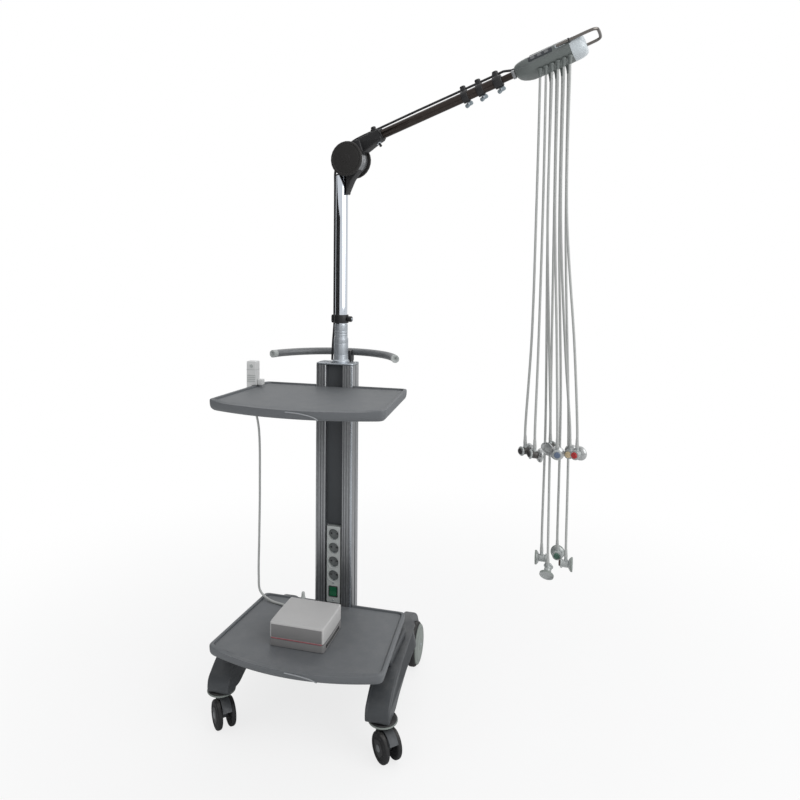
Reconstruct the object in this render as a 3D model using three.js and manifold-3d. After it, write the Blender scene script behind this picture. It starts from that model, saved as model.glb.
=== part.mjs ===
// Electrocardiograph trolley with a swivelling suction-electrode arm.
// Millimetres, +Z up. The cart frame has the column's axis at x = 0, y = 0, its front at -Y and
// the floor at z = 0. The last section moves the whole part, so that the origin is the bottom
// centre of the box around everything except the free cords.
import * as THREE from 'three';
import { mergeVertices } from 'three/addons/utils/BufferGeometryUtils.js';
import Module from 'manifold-3d';

const wasm = await Module();
wasm.setup();

// ---------------------------------------------------------------- driving dimensions
const GAP = 0.3;                     // clearance between pieces that rest on or in each other

// shelves
const SHELF_FRONT_HALF = 250;        // half width at the front corners
const SHELF_REAR_HALF = 230;         // half width at the rear corners
const SHELF_REAR_Y = -38;
const SHELF_CORNER_Y = -364;         // where the side edges meet the bowed front
const SHELF_BOW = 41;                // how far the front bulges past its corners
const SHELF_THICK = 32;
const SHELF_TAPER = 12;              // how much smaller the underside is, all round
const SHELF_CORNER_R = 15;
const RIM_WIDTH = 11;
const RIM_HEIGHT = 5;
const LIP_DROP = 11;                 // how far the front lip slopes down
const LOWER_SHELF_TOP = 245;
const UPPER_SHELF_TOP = 923;

// column
const COLUMN_WIDTH = 122;
const COLUMN_FRONT_Y = -47;
const COLUMN_REAR_Y = 20;
const COLUMN_TOP = 985;
const COLUMN_WALL = 5;
const COLUMN_CORNER_R = 12;
const CHANNEL_WIDTH = 54;            // recessed channel in the front face
const CHANNEL_DEPTH = 18;
const CAP_THICK = 5;

// mains sockets in the channel
const STRIP_WIDTH = 44;
const STRIP_THICK = 15;
const STRIP_BOTTOM = LOWER_SHELF_TOP + 1;
const SOCKET_PITCH = 43;
const SOCKET_R = 17.5;
const SOCKET_DEPTH = 10;
const SOCKET_COUNT = 4;
const LOWEST_SOCKET_Z = 330;
const STRIP_TOP = LOWEST_SOCKET_Z + (SOCKET_COUNT - 1) * SOCKET_PITCH + 25;
const SWITCH_Z = 281;
const SWITCH_WIDTH = 24;
const SWITCH_HEIGHT = 28;
const SWITCH_TILT = -7;              // degrees about X, the resting position of the rocker

// base
const LEG_INNER_X = 196;
const LEG_WIDTH = 66;
const LEG_TOP = 192;
const CASTER_X = 236;
const CASTER_Y = -312;
const CASTER_R = 39;
const BUMPER_R = 39.5;
const BUMPER_BOTTOM = 2 * CASTER_R + 13;
const BUMPER_THICK = 9;
const CASTER_WHEEL_WIDTH = 15;
const CASTER_INNER_FACE = 11;        // from the fork's middle plane to a wheel's inner face
const CASTER_TRAIL = 22;
const CASTER_HEADING = -45;          // degrees, the way the trail points
const STEM_R = 6;
const REAR_WHEEL_R = 67;
const REAR_WHEEL_Y = 115;
const REAR_WHEEL_INNER_X = 207;
const REAR_WHEEL_WIDTH = 32;
const REAR_HUB_R = 50;
const REAR_HUB_PROUD = 6;
const AXLE_R = 8;
const CROSS_WIDTH_Y = 92;
const CROSS_BOTTOM = 118;

// handle
const HANDLE_R = 11.5;
const HANDLE_Z = 1014;
const HANDLE_BACK_Y = 76;
const HANDLE_END_X = 198;
const HANDLE_END_Y = -64;

// mast
const MAST_X = 6;
const MAST_R = 19;
const COLLAR_R = MAST_R + 1.5;
const COLLAR_TOP = 1110;
const SLEEVE_R = COLLAR_R + 2;
const SLEEVE_TOP = 1065;
const MAST_WALL = 2.5;
const MAST_CLIP_Z = 1125;

// elbow and arm; u runs along the arm from the hinge, w is square to it, upwards
const ARM_AZIMUTH = -9;              // degrees about the mast
const ARM_RISE = 18.5;               // degrees above level
const ELBOW_Z = 1617;
const DRUM_R = 44;
const ELBOW_OFFSET = DRUM_R - 13;    // from the mast's axis to the hinge's axis
const DRUM_HALF = 26.7;
const DISC_R = DRUM_R + 9.5;
const DISC_THICK = 8;
const ARM_W = DRUM_R - 10;           // the arm tube's height above the hinge line
const ARM_R = 14;
const ARM_BORE_R = 11.5;
const ARM_START = DRUM_R + 16;
const ARM_END = 505;
const BOOM_R = 9.5;
const BOOM_START = 400;
const CLIP_WIDTH = 13;
const CLIP_R = 17.2;
const CLIP_PLACES = [398, 444];      // hose clips along the arm tube
const HOSE_W = ARM_W + 21;           // the air hose's height above the hinge line
const AIR_HOSE_R = 3.5;

// electrode head
const HEAD_START = 552;
const HEAD_SPLIT = 708;
const HEAD_END = 748;
const HEAD_HALF = 42;
const HEAD_LOW = ARM_W - 31;
const HEAD_HIGH = ARM_W + 21;
const HEAD_SIDES = 20;
const GRIP_R = 4.2;
const GRIP_REACH = 786;
const OUTLET_PITCH = 16.5;
const FIRST_OUTLET_U = 615;
const OUTLET_W = HEAD_LOW - 9;
const OUTLET_R = 5;
const OUTLET_HALF = 34;              // from the head's middle plane to either row of outlets
const OUTLET_LENGTH = 13;

// electrode leads
const LEAD_R = 3.4;
const CUP_R = 19;
const BODY_R = 10;
const STUB_R = 4.6;
const STUB_TOP = 19;                 // above the electrode's axis

// pump
const PUMP_LEFT = -90;
const PUMP_RIGHT = 68;
const PUMP_FRONT = -311;
const PUMP_REAR = -163;
const PUMP_HEIGHT = 68;
const PUMP_BASE_HEIGHT = 22;
const FITTING_X = -56;
const FITTING_R = 8;
const FITTING_HEIGHT = 90;

// data cable
const CABLE_R = 3.5;
const CONNECTOR_Y = -111;
const CONNECTOR_LEG_GAP = 4.5;         // between the shelf's edge and the connector's leg
const CONNECTOR_LEG_THICK = 18;
const CONNECTOR_REACH = 33;
const CONNECTOR_DEPTH = 26;
const CONNECTOR_HEIGHT = 73;           // above the upper shelf
const CONNECTOR_DROP = 28;             // below the upper shelf's top

// ---------------------------------------------------------------- materials
const paint = (color, roughness, metalness) =>
  new THREE.MeshStandardMaterial({ color, roughness, metalness });
const LOOK = {
  shelf: () => paint(0x666a6e, 0.6, 0),
  leg: () => paint(0x4b4e51, 0.5, 0.1),
  pale: () => paint(0x9aa39c, 0.5, 0),
  black: () => paint(0x17181a, 0.45, 0),
  alloy: () => paint(0x8a8d90, 0.35, 0.9),
  chrome: () => paint(0xc8ccd0, 0.08, 1),
  white: () => paint(0xd4d3d0, 0.5, 0),
  grey: () => paint(0x8f9191, 0.5, 0),
  panel: () => paint(0xa9acaa, 0.5, 0),
  green: () => paint(0x0c5a3c, 0.3, 0),
  hose: () => paint(0xa9afad, 0.55, 0),
  head: () => paint(0x6f7a77, 0.5, 0),
  light: () => paint(0xc0c8cb, 0.5, 0),
  steel: () => paint(0x9b9ea2, 0.25, 1),
  electrode: () => paint(0x7c8080, 0.35, 0.6),
};

// ---------------------------------------------------------------- solids
const rad = THREE.MathUtils.degToRad;
const V2 = (x, y) => new THREE.Vector2(x, y);
const V3 = (x, y, z) => new THREE.Vector3(x, y, z);

// A closed three.js geometry as a manifold solid.
function solid(geometry) {
  const bare = geometry.clone();
  for (const name of Object.keys(bare.attributes)) {
    if (name !== 'position') bare.deleteAttribute(name);
  }
  const merged = mergeVertices(bare, 1e-4);
  return new wasm.Manifold(new wasm.Mesh({
    numProp: 3,
    vertProperties: new Float32Array(merged.attributes.position.array),
    triVerts: new Uint32Array(merged.index.array),
  }));
}

// A manifold solid as a three.js geometry.
function geometryOf(body) {
  const mesh = body.getMesh();
  const geometry = new THREE.BufferGeometry();
  geometry.setAttribute('position', new THREE.BufferAttribute(mesh.vertProperties, 3));
  geometry.setIndex(new THREE.BufferAttribute(mesh.triVerts, 1));
  return geometry;
}

const join = (first, ...rest) => rest.reduce((sum, next) => sum.add(next), first);
const cut = (first, ...rest) => rest.reduce((left, next) => left.subtract(next), first);

// A box between two corners.
function block(low, high) {
  const size = high.map((value, i) => value - low[i]);
  const geometry = new THREE.BoxGeometry(...size);
  geometry.translate(...low.map((value, i) => value + size[i] / 2));
  return solid(geometry);
}

// A cylinder from one point to another.
function rod(from, to, radius, sides = 16) {
  const start = V3(...from);
  const along = V3(...to).sub(start);
  const geometry = new THREE.CylinderGeometry(radius, radius, along.length(), sides);
  geometry.translate(0, along.length() / 2, 0);
  const turn = new THREE.Quaternion().setFromUnitVectors(V3(0, 1, 0), along.clone().normalize());
  geometry.applyQuaternion(turn);
  geometry.translate(...start.toArray());
  return solid(geometry);
}

// A tube of round section along a smooth curve through hand-chosen points.
function sweep(points, radius, sides, steps) {
  const outline = new THREE.Shape();
  for (let i = 0; i < sides; i += 1) {
    const angle = (2 * Math.PI * i) / sides;
    const place = [radius * Math.cos(angle), radius * Math.sin(angle)];
    if (i === 0) outline.moveTo(...place);
    else outline.lineTo(...place);
  }
  outline.closePath();
  const route = new THREE.CatmullRomCurve3(points.map((p) => V3(...p)), false, 'centripetal');
  return solid(new THREE.ExtrudeGeometry(outline, {
    steps, extrudePath: route, curveSegments: 1, bevelEnabled: false,
  }));
}

// A solid of revolution about Z from [radius, height] pairs that start and end on the axis.
function turned(profile, sides = 24) {
  const points = profile.map(([r, z]) => V2(r, z));
  const geometry = new THREE.LatheGeometry(points, sides);
  geometry.rotateX(Math.PI / 2);
  return solid(geometry);
}

// An outline, extruded along +Z between two heights.
function prism(outline, low, high) {
  const geometry = new THREE.ExtrudeGeometry(outline, {
    depth: high - low, bevelEnabled: false, curveSegments: 6,
  });
  geometry.translate(0, 0, low);
  return solid(geometry);
}

const polygon = (pairs) => new THREE.Shape(pairs.map(([x, y]) => V2(x, y)));

// An outline given in the Y-Z plane, extruded along +X between two places.
function sideways(pairs, low, high) {
  const geometry = new THREE.ExtrudeGeometry(polygon(pairs), {
    depth: high - low, bevelEnabled: false,
  });
  geometry.translate(0, 0, low);
  geometry.applyMatrix4(new THREE.Matrix4().makeBasis(V3(0, 1, 0), V3(0, 0, 1), V3(1, 0, 0)));
  return solid(geometry);
}

// An outline given in the X-Z plane, extruded along Y, the same way on both sides of y = 0.
function across(pairs, half) {
  const geometry = new THREE.ExtrudeGeometry(polygon(pairs), {
    depth: 2 * half, bevelEnabled: false,
  });
  geometry.rotateX(Math.PI / 2);
  geometry.translate(0, half, 0);
  return solid(geometry);
}

// A skin over rings that have as many points each, closed at both ends.
function loft(rings) {
  const count = rings[0].length;
  const positions = rings.flat().flatMap((p) => p.toArray());
  const faces = [];
  for (let ring = 0; ring < rings.length - 1; ring += 1) {
    for (let i = 0; i < count; i += 1) {
      const a = ring * count + i;
      const b = ring * count + ((i + 1) % count);
      faces.push(a, b, b + count, a, b + count, a + count);
    }
  }
  const last = (rings.length - 1) * count;
  for (let i = 1; i < count - 1; i += 1) {
    faces.push(0, i + 1, i, last, last + i, last + i + 1);
  }
  const geometry = new THREE.BufferGeometry();
  geometry.setAttribute('position', new THREE.Float32BufferAttribute(positions, 3));
  geometry.setIndex(faces);
  return solid(geometry);
}

// ---------------------------------------------------------------- the scene
const cart = new THREE.Group();
const cordNames = [];

function put(parent, name, body, look, cord = false) {
  const mesh = new THREE.Mesh(geometryOf(body), LOOK[look]());
  mesh.name = name;
  parent.add(mesh);
  if (cord) cordNames.push(name);
  return mesh;
}

// ---------------------------------------------------------------- shelves
// The plan outline, counter-clockwise from the rear right corner, moved in by inset.
function shelfOutline(inset) {
  const rear = SHELF_REAR_HALF - inset;
  const front = SHELF_FRONT_HALF - inset;
  const back = SHELF_REAR_Y;
  const corner = SHELF_CORNER_Y + inset;
  const r = SHELF_CORNER_R;
  const slope = (front - rear) / (back - corner);
  const outline = new THREE.Shape();
  outline.moveTo(rear - r, back);
  outline.lineTo(-(rear - r), back);
  outline.quadraticCurveTo(-rear, back, -(rear + slope * r), back - r);
  outline.lineTo(-(front - slope * r), corner + r);
  outline.quadraticCurveTo(-front, corner, -(front - r), corner - r * 0.3);
  outline.quadraticCurveTo(0, corner - 2 * SHELF_BOW, front - r, corner - r * 0.3);
  outline.quadraticCurveTo(front, corner, front - slope * r, corner + r);
  outline.lineTo(rear + slope * r, back - r);
  outline.quadraticCurveTo(rear, back, rear - r, back);
  return outline.getPoints(8).slice(0, -1).map((p) => [p.x, p.y]);
}

// A tray with raised side and rear rims, a sloping front lip and tapering sides.
function shelf(top) {
  const ring = (inset, z) => shelfOutline(inset).map(([x, y]) => V3(x, y, z));
  const bottom = top - SHELF_THICK;
  const body = loft([ring(SHELF_TAPER, bottom), ring(0, top - SHELF_THICK * 0.4), ring(1, top)]);
  const tray = RIM_WIDTH;
  const rear = SHELF_REAR_HALF - tray;
  const front = SHELF_FRONT_HALF - tray;
  const floor = prism(polygon([
    [rear, SHELF_REAR_Y - tray], [-rear, SHELF_REAR_Y - tray],
    [-front, SHELF_CORNER_Y], [front, SHELF_CORNER_Y],
  ]), top - RIM_HEIGHT, top + 1);
  const lipTop = top - RIM_HEIGHT;
  const lipEnd = SHELF_CORNER_Y - SHELF_BOW - 20;
  const lip = sideways([
    [SHELF_CORNER_Y + GAP, lipTop], [SHELF_CORNER_Y + GAP, top + 1],
    [lipEnd, top + 1], [lipEnd, lipTop - LIP_DROP],
  ], -SHELF_FRONT_HALF - 1, SHELF_FRONT_HALF + 1);
  const notch = block(
    [-COLUMN_WIDTH / 2 - GAP, COLUMN_FRONT_Y - GAP, bottom - 1],
    [COLUMN_WIDTH / 2 + GAP, SHELF_REAR_Y + 1, top + 1],
  );
  return cut(body, floor, lip, notch);
}

// The lower shelf stands on pads on the legs; the upper one hangs on a bracket at the column.
const padBottom = LEG_TOP + GAP;
const lowerUnder = LOWER_SHELF_TOP - SHELF_THICK;
const padX = LEG_INNER_X + 28;
const pads = [-1, 1].map((side) => block(
  [side * padX - 15, -240, padBottom],
  [side * padX + 15, -70, lowerUnder + 1],
));
put(cart, 'lower_shelf', join(shelf(LOWER_SHELF_TOP), ...pads), 'shelf');
const upperUnder = UPPER_SHELF_TOP - SHELF_THICK;
const shelfBracket = sideways([
  [COLUMN_FRONT_Y - GAP, upperUnder - 46], [COLUMN_FRONT_Y - GAP, upperUnder + 1],
  [COLUMN_FRONT_Y - 120, upperUnder + 1], [COLUMN_FRONT_Y - 120, upperUnder - 8],
], -40, 40);
put(cart, 'upper_shelf', join(shelf(UPPER_SHELF_TOP), shelfBracket), 'shelf');

// ---------------------------------------------------------------- column
const columnHalf = COLUMN_WIDTH / 2;
const channelHalf = CHANNEL_WIDTH / 2;
const channelFloor = COLUMN_FRONT_Y + CHANNEL_DEPTH;

function columnOutline() {
  const r = COLUMN_CORNER_R;
  const outline = new THREE.Shape();
  outline.moveTo(channelHalf, COLUMN_FRONT_Y);
  outline.lineTo(columnHalf - r, COLUMN_FRONT_Y);
  outline.quadraticCurveTo(columnHalf, COLUMN_FRONT_Y, columnHalf, COLUMN_FRONT_Y + r);
  outline.lineTo(columnHalf, COLUMN_REAR_Y - r);
  outline.quadraticCurveTo(columnHalf, COLUMN_REAR_Y, columnHalf - r, COLUMN_REAR_Y);
  outline.lineTo(r - columnHalf, COLUMN_REAR_Y);
  outline.quadraticCurveTo(-columnHalf, COLUMN_REAR_Y, -columnHalf, COLUMN_REAR_Y - r);
  outline.lineTo(-columnHalf, COLUMN_FRONT_Y + r);
  outline.quadraticCurveTo(-columnHalf, COLUMN_FRONT_Y, r - columnHalf, COLUMN_FRONT_Y);
  outline.lineTo(-channelHalf, COLUMN_FRONT_Y);
  outline.lineTo(-channelHalf, channelFloor);
  outline.lineTo(channelHalf, channelFloor);
  outline.closePath();
  return outline;
}

const columnFoot = LEG_TOP + GAP;
const profile = columnOutline();
const inside = new THREE.Path([
  V2(-columnHalf + COLUMN_WALL, channelFloor + COLUMN_WALL),
  V2(columnHalf - COLUMN_WALL, channelFloor + COLUMN_WALL),
  V2(columnHalf - COLUMN_WALL, COLUMN_REAR_Y - COLUMN_WALL),
  V2(-columnHalf + COLUMN_WALL, COLUMN_REAR_Y - COLUMN_WALL),
]);
profile.holes.push(inside);
put(cart, 'column_profile', prism(profile, columnFoot, COLUMN_TOP), 'alloy');
const capBottom = COLUMN_TOP + GAP;
const capTop = capBottom + CAP_THICK;

// ---------------------------------------------------------------- socket strip and its switch
const stripFront = channelFloor - GAP - STRIP_THICK;
function socketStrip() {
  const half = STRIP_WIDTH / 2;
  const strip = block([-half, stripFront, STRIP_BOTTOM], [half, channelFloor - GAP, STRIP_TOP]);
  const recesses = [];
  for (let i = 0; i < SOCKET_COUNT; i += 1) {
    const z = LOWEST_SOCKET_Z + i * SOCKET_PITCH;
    recesses.push(rod([0, stripFront - 1, z], [0, stripFront + SOCKET_DEPTH, z], SOCKET_R, 24));
  }
  const window = block(
    [-SWITCH_WIDTH / 2 - 0.6, stripFront - 1, SWITCH_Z - SWITCH_HEIGHT / 2 - 0.8],
    [SWITCH_WIDTH / 2 + 0.6, stripFront + 12, SWITCH_Z + SWITCH_HEIGHT / 2 + 0.8],
  );
  return cut(strip, ...recesses, window);
}
put(cart, 'socket_strip', socketStrip(), 'panel');

// A rocker whose front is a shallow V, at home in the strip's window on a hinge line along X.
const switchPivotY = stripFront + 5;
const rocker = sideways([
  [stripFront - 2.5, SWITCH_Z + SWITCH_HEIGHT / 2],
  [stripFront - 0.5, SWITCH_Z],
  [stripFront - 2.5, SWITCH_Z - SWITCH_HEIGHT / 2],
  [stripFront + 3, SWITCH_Z - SWITCH_HEIGHT / 2],
  [switchPivotY + 3, SWITCH_Z],
  [stripFront + 3, SWITCH_Z + SWITCH_HEIGHT / 2],
], -SWITCH_WIDTH / 2, SWITCH_WIDTH / 2);
const rested = rocker.translate([0, -switchPivotY, -SWITCH_Z]).rotate([SWITCH_TILT, 0, 0])
  .translate([0, switchPivotY, SWITCH_Z]);
put(cart, 'power_switch', rested, 'green');

// ---------------------------------------------------------------- base: cross-member and legs
const crossRear = COLUMN_REAR_Y + 26;
put(cart, 'base_crossmember', block(
  [-LEG_INNER_X + GAP, crossRear - CROSS_WIDTH_Y, CROSS_BOTTOM],
  [LEG_INNER_X - GAP, crossRear, LEG_TOP],
), 'leg');

const bumperTop = BUMPER_BOTTOM + BUMPER_THICK;
const legBottom = bumperTop + GAP;
const stemTop = BUMPER_BOTTOM + 35;

// Side view of a leg as [y, z]: the nose over the caster, the spine under the shelf and the
// fender over the rear wheel.
const LEG_SIDE = [
  [CASTER_Y + 34, legBottom], [-236, 118], [-150, 138], [-40, 142], [30, 110], [44, 74],
  [REAR_WHEEL_Y + REAR_WHEEL_R + 2, 60], [REAR_WHEEL_Y + REAR_WHEEL_R + 12, 66],
  [190, 100], [168, 134], [140, 155], [105, 174], [60, 188], [20, LEG_TOP], [-245, LEG_TOP],
  [-300, 174], [CASTER_Y - 32, 140], [CASTER_Y - 37, 118], [CASTER_Y - 34, legBottom],
];

function leg(side) {
  const outer = LEG_INNER_X + LEG_WIDTH;
  const low = side > 0 ? LEG_INNER_X : -outer;
  const body = sideways([...LEG_SIDE].reverse(), low, low + LEG_WIDTH);
  const well = rod(
    [side * (REAR_WHEEL_INNER_X - 1.5), REAR_WHEEL_Y, REAR_WHEEL_R],
    [side * (outer + 1), REAR_WHEEL_Y, REAR_WHEEL_R],
    REAR_WHEEL_R + 4, 40,
  );
  const bore = rod(
    [side * CASTER_X, CASTER_Y, 0], [side * CASTER_X, CASTER_Y, stemTop + 4], STEM_R + GAP,
  );
  const axle = rod(
    [side * (LEG_INNER_X + 2), REAR_WHEEL_Y, REAR_WHEEL_R],
    [side * (REAR_WHEEL_INNER_X + REAR_WHEEL_WIDTH - 4), REAR_WHEEL_Y, REAR_WHEEL_R],
    AXLE_R,
  );
  return join(cut(body, well, bore), axle);
}

// The bumper is a turned ring; the caster's stem passes through it into the leg.
function bumper(side) {
  const outer = turned([
    [0, 0], [BUMPER_R - 3, 0], [BUMPER_R, 3], [BUMPER_R, BUMPER_THICK - 2],
    [BUMPER_R - 3, BUMPER_THICK], [0, BUMPER_THICK],
  ], 24);
  const hole = rod([0, 0, -1], [0, 0, BUMPER_THICK + 1], STEM_R + GAP);
  return cut(outer, hole).translate([side * CASTER_X, CASTER_Y, BUMPER_BOTTOM]);
}

for (const [side, word] of [[-1, 'left'], [1, 'right']]) {
  put(cart, `leg_${word}`, leg(side), 'leg');
  put(cart, `bumper_${word}`, bumper(side), 'pale');
}

// ---------------------------------------------------------------- casters and rear wheels
// In its own frame a caster's stem is on Z, its trail points along +X and its axle along Y.
const forkTop = BUMPER_BOTTOM - GAP;
const casterOuterFace = CASTER_INNER_FACE + CASTER_WHEEL_WIDTH;
function casterFork() {
  const cheek = across([
    [-13, forkTop], [22, forkTop], [34, CASTER_R + 23], [36, CASTER_R],
    [CASTER_TRAIL + 6, CASTER_R - 12], [CASTER_TRAIL - 8, CASTER_R - 10], [2, CASTER_R + 19],
    [-12, CASTER_R + 37],
  ], CASTER_INNER_FACE - 1.5);
  const plate = rod([0, 0, 2 * CASTER_R + 4], [0, 0, forkTop], 21, 24);
  const stem = rod([0, 0, forkTop - 1], [0, 0, stemTop], STEM_R);
  const eye = rod([CASTER_TRAIL, -20, CASTER_R], [CASTER_TRAIL, 20, CASTER_R], 5 + GAP);
  return cut(join(cheek, plate, stem), eye);
}

function casterWheels() {
  const half = [
    [5, CASTER_INNER_FACE], [CASTER_R - 5, CASTER_INNER_FACE], [CASTER_R, CASTER_INNER_FACE + 4],
    [CASTER_R, casterOuterFace - 4], [CASTER_R - 5, casterOuterFace], [0, casterOuterFace],
  ];
  const mirror = [...half].reverse().map(([r, z]) => [r, -z]);
  const wheels = turned([...mirror, ...half], 24).rotate([90, 0, 0]);
  return wheels.translate([CASTER_TRAIL, 0, CASTER_R]);
}

for (const [side, word] of [[-1, 'left'], [1, 'right']]) {
  const caster = new THREE.Group();
  caster.position.set(side * CASTER_X, CASTER_Y, 0);
  caster.rotation.z = rad(CASTER_HEADING);
  cart.add(caster);
  put(caster, `caster_${word}_fork`, casterFork(), 'black');
  put(caster, `caster_${word}_wheels`, casterWheels(), 'black');
}

// The wheel's axis is Z here; its hub stands proud of the tyre on the outer side.
function rearWheel(side) {
  const wheel = turned([
    [0, 0], [REAR_WHEEL_R - 12, 0], [REAR_WHEEL_R - 5, 3], [REAR_WHEEL_R, 9],
    [REAR_WHEEL_R, REAR_WHEEL_WIDTH - 9], [REAR_WHEEL_R - 5, REAR_WHEEL_WIDTH - 3],
    [REAR_HUB_R + 4, REAR_WHEEL_WIDTH], [REAR_HUB_R, REAR_WHEEL_WIDTH + REAR_HUB_PROUD],
    [0, REAR_WHEEL_WIDTH + REAR_HUB_PROUD],
  ], 28);
  const bore = rod([0, 0, -1], [0, 0, REAR_WHEEL_WIDTH - 4 + GAP], AXLE_R + GAP);
  const placed = cut(wheel, bore).rotate([0, side * 90, 0]);
  return placed.translate([side * REAR_WHEEL_INNER_X, REAR_WHEEL_Y, REAR_WHEEL_R]);
}
put(cart, 'rear_wheel_left', rearWheel(-1), 'black');
put(cart, 'rear_wheel_right', rearWheel(1), 'black');

// ---------------------------------------------------------------- push handle
// A circular arc through both ends and the middle.
function handleArc() {
  const rise = HANDLE_BACK_Y - HANDLE_END_Y;
  const radius = (HANDLE_END_X ** 2 + rise ** 2) / (2 * rise);
  const centreY = HANDLE_BACK_Y - radius;
  const sweepAngle = Math.atan2(HANDLE_END_X, HANDLE_END_Y - centreY);
  const points = [];
  for (let i = 0; i <= 8; i += 1) {
    const angle = -sweepAngle + (2 * sweepAngle * i) / 8;
    points.push([radius * Math.sin(angle), centreY + radius * Math.cos(angle), HANDLE_Z]);
  }
  return points;
}
put(cart, 'handle_bar', sweep(handleArc(), HANDLE_R, 12, 16), 'leg');
const handleSeat = sweep(handleArc(), HANDLE_R + GAP, 12, 16);
const BRACKET_HALF = 24;
const bracketFoot = block(
  [-BRACKET_HALF, COLUMN_REAR_Y + GAP, COLUMN_TOP - 60], [BRACKET_HALF, HANDLE_BACK_Y, COLUMN_TOP],
);
const bracketHead = block(
  [-BRACKET_HALF, HANDLE_BACK_Y - 34, COLUMN_TOP - 1], [BRACKET_HALF, HANDLE_BACK_Y, HANDLE_Z + 6],
);
put(cart, 'handle_bracket', cut(join(bracketFoot, bracketHead), handleSeat), 'black');

// ---------------------------------------------------------------- pump on the lower shelf
const trayZ = LOWER_SHELF_TOP - RIM_HEIGHT;
const pumpLow = trayZ + GAP;
const pumpSplit = pumpLow + PUMP_BASE_HEIGHT;
const PUMP_BULGE = 3;
function pumpShell(low, high) {
  const outline = new THREE.Shape();
  const middle = (PUMP_FRONT + PUMP_REAR) / 2;
  outline.moveTo(PUMP_LEFT, PUMP_FRONT);
  outline.lineTo(PUMP_RIGHT, PUMP_FRONT);
  outline.quadraticCurveTo(PUMP_RIGHT + PUMP_BULGE, middle, PUMP_RIGHT, PUMP_REAR);
  outline.lineTo(PUMP_LEFT, PUMP_REAR);
  outline.quadraticCurveTo(PUMP_LEFT - PUMP_BULGE, middle, PUMP_LEFT, PUMP_FRONT);
  return prism(outline, low, high);
}
const fittingY = PUMP_REAR + 12;
const fittingBlock = block(
  [FITTING_X - 8, PUMP_REAR - 1, pumpLow + 2],
  [FITTING_X + 8, fittingY + 6, pumpLow + 34],
);
const fitting = rod(
  [FITTING_X, fittingY, pumpLow + 6], [FITTING_X, fittingY, pumpLow + FITTING_HEIGHT], FITTING_R,
);
const fittingRoom = block(
  [FITTING_X - 9, PUMP_REAR - 1 - GAP, pumpSplit],
  [FITTING_X + 9, PUMP_REAR + 1, pumpLow + 36],
);
put(cart, 'pump_base', join(pumpShell(pumpLow, pumpSplit), fittingBlock, fitting), 'grey');
const coverBody = pumpShell(pumpSplit + GAP, pumpLow + PUMP_HEIGHT);
put(cart, 'pump_cover', cut(coverBody, fittingRoom), 'white');

// ---------------------------------------------------------------- data cable and its connector
// The connector hooks over the upper shelf's left edge: its leg hangs outside the rim.
const shelfSlope = (SHELF_FRONT_HALF - SHELF_REAR_HALF) / (SHELF_REAR_Y - SHELF_CORNER_Y);
const shelfEdge = SHELF_FRONT_HALF - shelfSlope * (CONNECTOR_Y - SHELF_CORNER_Y);
const connectorInner = -(shelfEdge + CONNECTOR_LEG_GAP);
const connectorOuter = connectorInner - CONNECTOR_LEG_THICK;
const connectorX = (connectorInner + connectorOuter) / 2;
const connectorLow = UPPER_SHELF_TOP - CONNECTOR_DROP;
const connectorFront = CONNECTOR_Y - CONNECTOR_DEPTH / 2;
const connectorRear = CONNECTOR_Y + CONNECTOR_DEPTH / 2;
const connectorBody = block(
  [connectorOuter, connectorFront, UPPER_SHELF_TOP + GAP],
  [connectorOuter + CONNECTOR_REACH, connectorRear, UPPER_SHELF_TOP + CONNECTOR_HEIGHT],
);
const connectorLeg = block(
  [connectorOuter, connectorFront, connectorLow],
  [connectorInner, connectorRear, UPPER_SHELF_TOP + GAP + 1],
);
put(cart, 'data_connector', join(connectorBody, connectorLeg), 'white', true);
const CABLE_ROUTE = [
  [FITTING_X - 9, -152, 256], [FITTING_X - 16, -152, 255], [-92, -140, 247],
  [-143, -98, 244.2], [-185, -87, 244.4], [-214, -77, 250.5], [-236, -69, 266],
  [-243, -63, 310], [-243, -60, 430], [-241, -61, 600], [-243, -66, 780], [-246, -92, 850],
  [connectorX, CONNECTOR_Y, connectorLow - 15], [connectorX, CONNECTOR_Y, connectorLow - GAP],
];
put(cart, 'data_cable', sweep(CABLE_ROUTE, CABLE_R, 8, 42), 'hose', true);

// ---------------------------------------------------------------- mast
// The column's cap and the sleeve that the mast turns in are one casting.
const boreFloor = capTop + 9;
const mastLow = boreFloor + GAP;
function mastSleeve() {
  const sleeve = turned([
    [0, capBottom + 1], [SLEEVE_R + 4, capBottom + 1], [SLEEVE_R + 4, capTop + 6],
    [SLEEVE_R, capTop + 8], [SLEEVE_R, SLEEVE_TOP], [0, SLEEVE_TOP],
  ]).translate([MAST_X, 0, 0]);
  const cap = prism(columnOutline(), capBottom, capTop);
  const bore = rod([MAST_X, 0, boreFloor], [MAST_X, 0, SLEEVE_TOP + 1], COLLAR_R + GAP, 28);
  return cut(join(cap, sleeve), bore);
}
put(cart, 'mast_sleeve', mastSleeve(), 'alloy');

// Everything above the sleeve turns about the mast's axis. This frame has its X along the arm's
// plan direction and its origin on the mast's axis at floor level.
const swivel = new THREE.Group();
swivel.position.set(MAST_X, 0, 0);
swivel.rotation.z = rad(ARM_AZIMUTH);
cart.add(swivel);

const mastTop = ELBOW_Z - DRUM_R - 2.5;
const mastOuter = turned([
  [0, mastLow], [COLLAR_R, mastLow], [COLLAR_R, COLLAR_TOP - 2], [MAST_R, COLLAR_TOP],
  [MAST_R, mastTop], [0, mastTop],
]);
const mastHollow = rod([0, 0, mastLow - 1], [0, 0, mastTop - 8], MAST_R - MAST_WALL, 24);
put(swivel, 'mast_tube', cut(mastOuter, mastHollow), 'chrome');

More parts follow.
